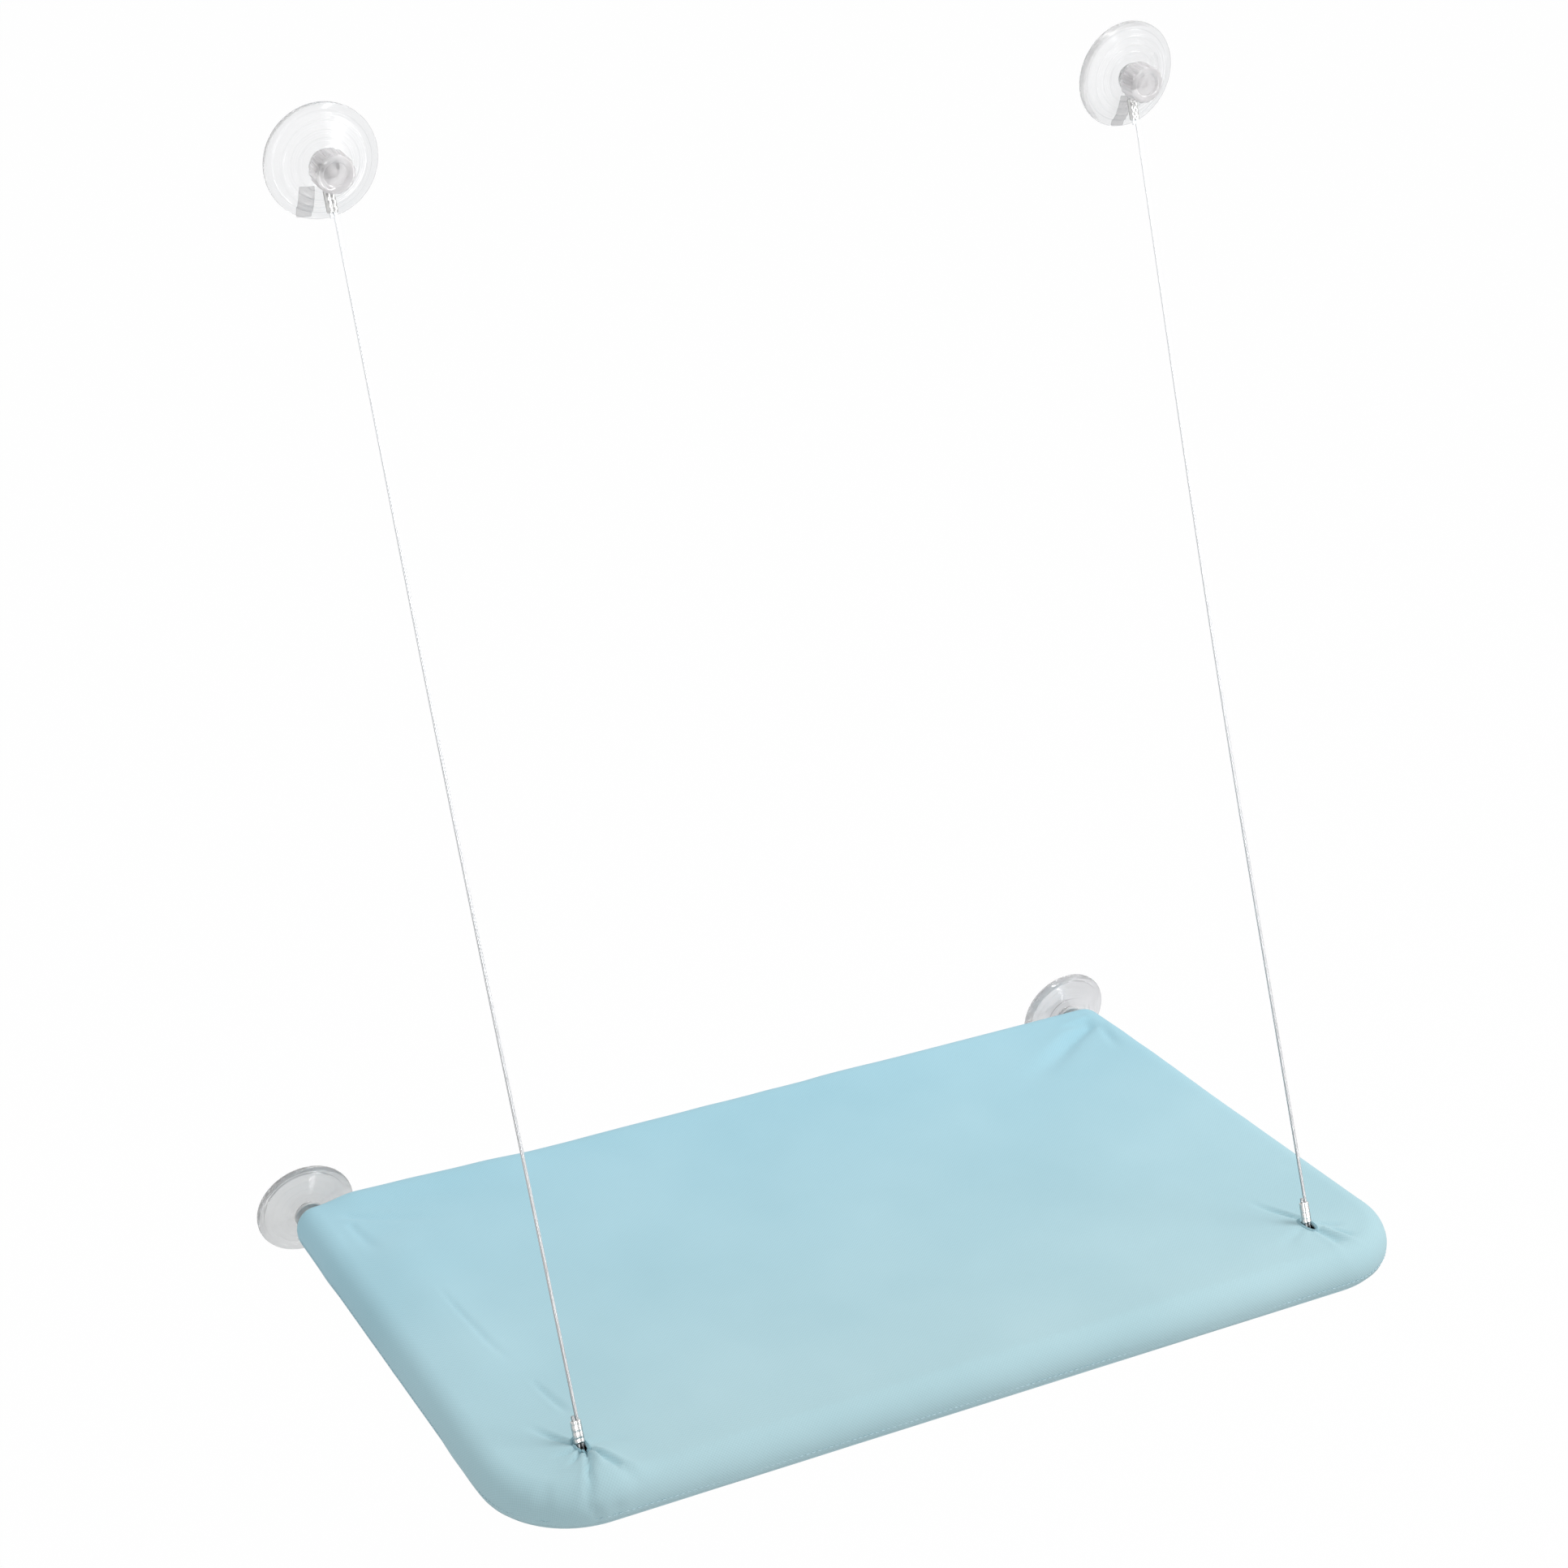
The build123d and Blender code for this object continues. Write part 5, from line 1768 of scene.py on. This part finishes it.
    def lower_cloth(self) -> None:
        """Makes the lower cloth: a taut panel under the frame, wrapped up to the seam."""
        hw, depth = self.bed.half_width, self.bed.depth
        spacing = 9.0
        outline = np.array([s[:2] for s in self.stations(5.0)])
        grid = np.array([(x + (spacing / 2 if j % 2 else 0), -y) for j, y in enumerate(np.arange(5, depth, spacing))
                         for x in np.arange(-hw, hw, spacing)])
        inner = [tuple(p) for p in grid[self.inside(grid, 2.0) & (gap_to(outline, grid) > 3.5)]]
        points, faces, cut, outwards = self.sheet(5.0, self.seam_deg, -90.0, 7, inner, [])
        loose = np.array([noise.noise(Vector((a / 70, b / 70, 21.3))) for a, b in cut])
        panel = (outwards[:, 2] < -0.999) & self.inside(points[:, :2], 1.0)
        points = points + outwards * np.where(panel, 0.0, 0.12 * np.abs(loose))[:, None]
        piece = self.cloth_piece("lower_cloth", points, faces, cut + np.array([0.0, 500.0]))
        self.keep(piece, Carrier.BED, Slot.CLOTH, "cover_bottom")
        self.declare(piece, self.outer * math.radians(90 + self.seam_deg))

    def rear_flap(self) -> None:
        """Makes the flap that closes the cover behind and under the rear tube."""
        half = self.bed.half_width - self.flap_inset
        drop = 2 * self.tape_thick
        outer = self.outer + self.thick
        section = [(outer, self.flap_rise), (outer, 0.0)]
        section += [(outer * math.cos(a), -drop - outer * math.sin(a)) for a in np.linspace(0, math.pi / 2, 14)]
        section += [(-self.flap_reach * t, -drop - outer) for t in np.linspace(0.12, 1, 9)]
        runs = np.concatenate([[0], np.cumsum(np.hypot(*np.diff(np.array(section), axis=0).T))])
        xs = np.linspace(-half, half, 121)
        points, cut = [], []
        for x in xs:
            for (y, z), run in zip(section, runs):
                wave = 0.25 * noise.noise(Vector((x / 30, run / 18, 5.5)))
                points.append((x, y + wave * (y > 5), z - abs(wave) * (y <= 5)))
                cut.append((x, run + 1000.0))
        faces = quads(len(xs), len(section))
        piece = self.cloth_piece("rear_flap_cloth", np.array(points), faces, np.array(cut))
        self.keep(piece, Carrier.BED, Slot.CLOTH, "cover_rear_flap")

    def tapes(self) -> None:
        """Makes the hook and loop tapes between the flap and the lower cloth."""
        half = self.bed.half_width - self.tape_inset
        for layer, (name, node, finish) in enumerate((("loop_tape", "closure_loop_tape", LOOP_PILE),
                                                      ("hook_tape", "closure_hook_tape", HOOK_PILE))):
            top = -self.outer - layer * self.tape_thick
            low = top - self.tape_thick
            xs, ys = np.linspace(-half, half, 90), np.linspace(-self.tape_rear - self.tape_width, -self.tape_rear, 8)
            points = [(x, y, z) for z in (top, low) for x in xs for y in ys]
            piece = rig_mesh(name, self.bed.lay(np.array(points)), slab(len(xs), len(ys)), finish)
            self.keep(piece, Carrier.BED, Slot.TAPE, node)

    def seam_stitches(self) -> None:
        """Sews the line of stitches above the seam, all round but for the strap slots."""
        a = math.radians(self.seam_deg + self.stitch_deg)
        reach = self.outer + self.thread_lift
        line = [(x + nx * reach * math.cos(a), y + ny * reach * math.cos(a), reach * math.sin(a))
                for x, y, nx, ny in self.stations(2.5)]
        runs, run = [], []
        for p in line:
            if any(self.near_slot(Vector(p), side.value * self.bed.half_width, 1.5) for side in Side):
                runs.append(run)
                run = []
            else:
                run.append(p)
        runs = [run + runs[0], *runs[1:]]
        runs = [r for r in runs if len(r) > 3]
        points, edges = [], []
        for run in runs:
            edges += [(len(points) + i, len(points) + i + 1) for i in range(len(run) - 1)]
            points += run
        mesh = mesh_of("seam_line", self.bed.lay(np.array(points)), edges=edges)
        sizes = {"Pitch": self.stitch_pitch * MM, "Stitch Length": self.stitch_length * MM,
                 "Thread Radius": self.stitch_radius * MM, "Turn": 0.0}
        self.keep(self.stitches.bake("seam_stitches", mesh, sizes, SEAM_THREAD), Carrier.BED, Slot.CLOTH)

    def cloth_height(self, x: float, y: float) -> float:
        """How high the outer surface of the top panel stands above the tubes' plane."""
        u, v = np.array([x]), np.array([-y])
        return self.outer - float(self.drop(u, v)[0]) + float(self.relief(u, v)[0])

    def binding(self, side: Side) -> None:
        """Makes the whipped edge of one slit: a soft welt and the threads over it.

        Args:
            side: The side that the slit is on.
        """
        centre = self.slit_outline(side, 96, self.binding_width * 0.45)
        half_w, half_h = self.binding_width / 2, self.binding_height / 2
        cx = side.value * self.slit_x
        count, around = len(centre), 10
        rows = []
        for n, (x, y) in enumerate(centre):
            ax, ay = centre[n - 1]
            bx, by = centre[(n + 1) % count]
            way = Vector((by - ay, ax - bx)).normalized()
            if way.dot(Vector((x - cx, y + self.slit_depth))) < 0:
                way.negate()
            z = self.cloth_height(x, y) + self.thread_lift
            for k in range(around):
                a = 2 * math.pi * k / around
                out = half_w * math.cos(a)
                rows.append((x + way.x * out, y + way.y * out, z + half_h * math.sin(a)))
        faces = quads(count, around, loop_rows=True, loop_cols=True)
        welt = rig_mesh("slit_welt_" + side.label, self.bed.lay(np.array(rows)), faces, EDGE_THREAD)
        self.keep(welt, Carrier.BED, Slot.BINDING, "slit_binding_" + side.label)
        top = [(x, y, self.cloth_height(x, y) + half_h * 0.7) for x, y in centre]
        sizes = {"Pitch": self.whip_pitch * MM, "Stitch Length": self.binding_width * 0.8 * MM,
                 "Thread Radius": self.whip_radius * MM, "Turn": math.pi / 2}
        line = line_mesh("slit_line", self.bed.lay(np.array(top)), True)
        threads = self.stitches.bake("slit_threads_" + side.label, line, sizes, EDGE_THREAD)
        self.keep(threads, Carrier.BED, Slot.BINDING)


@dataclass
class Studio:
    """The photograph's camera, a plain pale floor and soft light from above."""

    image_px: float = 1932.0
    focal_px: float = 3698.4
    sensor: float = 36.0
    yaw_deg: float = -28.29
    pitch_deg: float = 29.99
    roll_deg: float = 3.13
    target: tuple[float, float, float] = (227.16, 340.3, 3.32)
    distance: float = 2263.68
    floor_height: float = -420.0
    floor_half: float = 9000.0
    sky: float = 0.68
    key_power: float = 24.0
    strip_power: float = 30.0
    floor_glow: float = 0.985

    def build(self) -> None:
        """Sets up the camera, the floor, the world and the lamps."""
        self.camera()
        self.floor()
        self.world()
        self.lamp("softbox_room", (1420.0, -640.0, 1960.0), (0.0, -150.0, 100.0), (900.0, 900.0), self.key_power)
        strip = self.lamp("strip_light", (640.0, -1900.0, 700.0), (0.0, 0.0, 700.0), (90.0, 2200.0), self.strip_power)
        # it gives streaks on gloss alone, and leaves the cloth's colour as it is written
        strip.visible_diffuse = False
        bpy.context.scene.view_settings.view_transform = "Standard"

    def axes(self) -> tuple[Vector, Vector, Vector]:
        """Turns the camera's three angles into directions.

        Returns:
            The directions to its right, up and back.
        """
        yaw, pitch, roll = (math.radians(a) for a in (self.yaw_deg, self.pitch_deg, self.roll_deg))
        back = Vector((math.sin(yaw) * math.cos(pitch), -math.cos(yaw) * math.cos(pitch), math.sin(pitch)))
        right = Vector((0, 0, 1)).cross(back).normalized()
        up = back.cross(right)
        c, s = math.cos(roll), math.sin(roll)
        return right * c + up * s, up * c - right * s, back

    def camera(self) -> None:
        """Makes the camera that the photograph was fitted to."""
        data = bpy.data.cameras.new("photo_camera")
        data.sensor_width = self.sensor
        data.lens = self.focal_px / self.image_px * self.sensor
        data.clip_end = 60.0
        camera = put("photo_camera", data)
        right, up, back = self.axes()
        place = (Vector(self.target) + back * self.distance) * MM
        camera.matrix_world = Matrix.Translation(place) @ Matrix((right, up, back)).transposed().to_4x4()
        bpy.context.scene.camera = camera

    def seen_white(self, tree: NodeTree) -> Node:
        """Adds the test for rays that come from the camera, from gloss or through a clear piece.

        Args:
            tree: The material's or world's tree.

        Returns:
            A node that gives 1 for such a ray and 0 for others.
        """
        add = partial(add_node, tree)
        rays = add("ShaderNodeLightPath")
        gloss = add("ShaderNodeMath", {0: rays.outputs["Is Camera Ray"], 1: rays.outputs["Is Glossy Ray"]},
                    operation="MAXIMUM")
        return add("ShaderNodeMath", {0: gloss, 1: rays.outputs["Is Transmission Ray"]}, operation="MAXIMUM")

    def floor(self) -> None:
        """Makes the pale floor, which shows almost white and keeps a soft shadow."""
        half, z = self.floor_half, self.floor_height
        paint = bpy.data.materials.new("matt_white_floor_paint")
        paint.use_nodes = True
        tree = paint.node_tree
        tree.nodes.clear()
        add = partial(add_node, tree)
        matt = add("ShaderNodeBsdfDiffuse", {"Color": linear("#E4E4E4")})
        glow = add("ShaderNodeEmission", {"Color": (1, 1, 1, 1), "Strength": 1.0})
        share = add("ShaderNodeMath", {0: self.seen_white(tree), 1: self.floor_glow}, operation="MULTIPLY")
        mix = add("ShaderNodeMixShader", {0: share, 1: matt, 2: glow})
        add("ShaderNodeOutputMaterial", {"Surface": mix})
        corners = [(-half, -half, z), (half, -half, z), (half, half, z), (-half, half, z)]
        mesh = mesh_of("studio_floor", np.array(corners), [(0, 1, 2, 3)])
        mesh.materials.append(paint)
        put("studio_floor", mesh)

    def world(self) -> None:
        """Lights the scene evenly from all round, and shows plain white behind."""
        world = bpy.data.worlds.new("studio")
        bpy.context.scene.world = world
        world.use_nodes = True
        tree = world.node_tree
        tree.nodes.clear()
        add = partial(add_node, tree)
        level = add("ShaderNodeMapRange", {"Value": self.seen_white(tree), "To Min": self.sky, "To Max": 1.0})
        even = add("ShaderNodeBackground", {"Color": (1, 1, 1, 1), "Strength": level})
        add("ShaderNodeOutputWorld", {"Surface": even})

    def lamp(self, name: str, place: tuple[float, float, float], aim: tuple[float, float, float],
             size: tuple[float, float], power: float) -> Object:
        """Hangs one flat soft lamp.

        Args:
            name: The lamp's name.
            place: Where it hangs, in millimetres.
            aim: What it points at.
            size: Its width and height.
            power: Its power in watts.

        Returns:
            The lamp.
        """
        data = bpy.data.lights.new(name, "AREA")
        data.shape = "RECTANGLE"
        data.size, data.size_y = size[0] * MM, size[1] * MM
        data.energy = power
        lamp = put(name, data)
        way = Vector(aim) - Vector(place)
        lamp.matrix_world = Matrix.Translation(Vector(place) * MM) @ way.to_track_quat("-Z", "Y").to_matrix().to_4x4()
        return lamp


def main() -> None:
    """Builds the studio and every sub-assembly."""
    logging.basicConfig(level=logging.INFO, format="%(message)s")
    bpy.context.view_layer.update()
    bed = BedFrame()
    Studio().build()
    for group in (Cables(bed), SuctionCups(bed), ThumbNuts(), SteelFittings(), HiddenFrame(), ClothCover(bed)):
        group.build()
        log.info("%s: %d pieces", type(group).__name__, len(group.pieces))


if __name__ == "__main__":
    main()
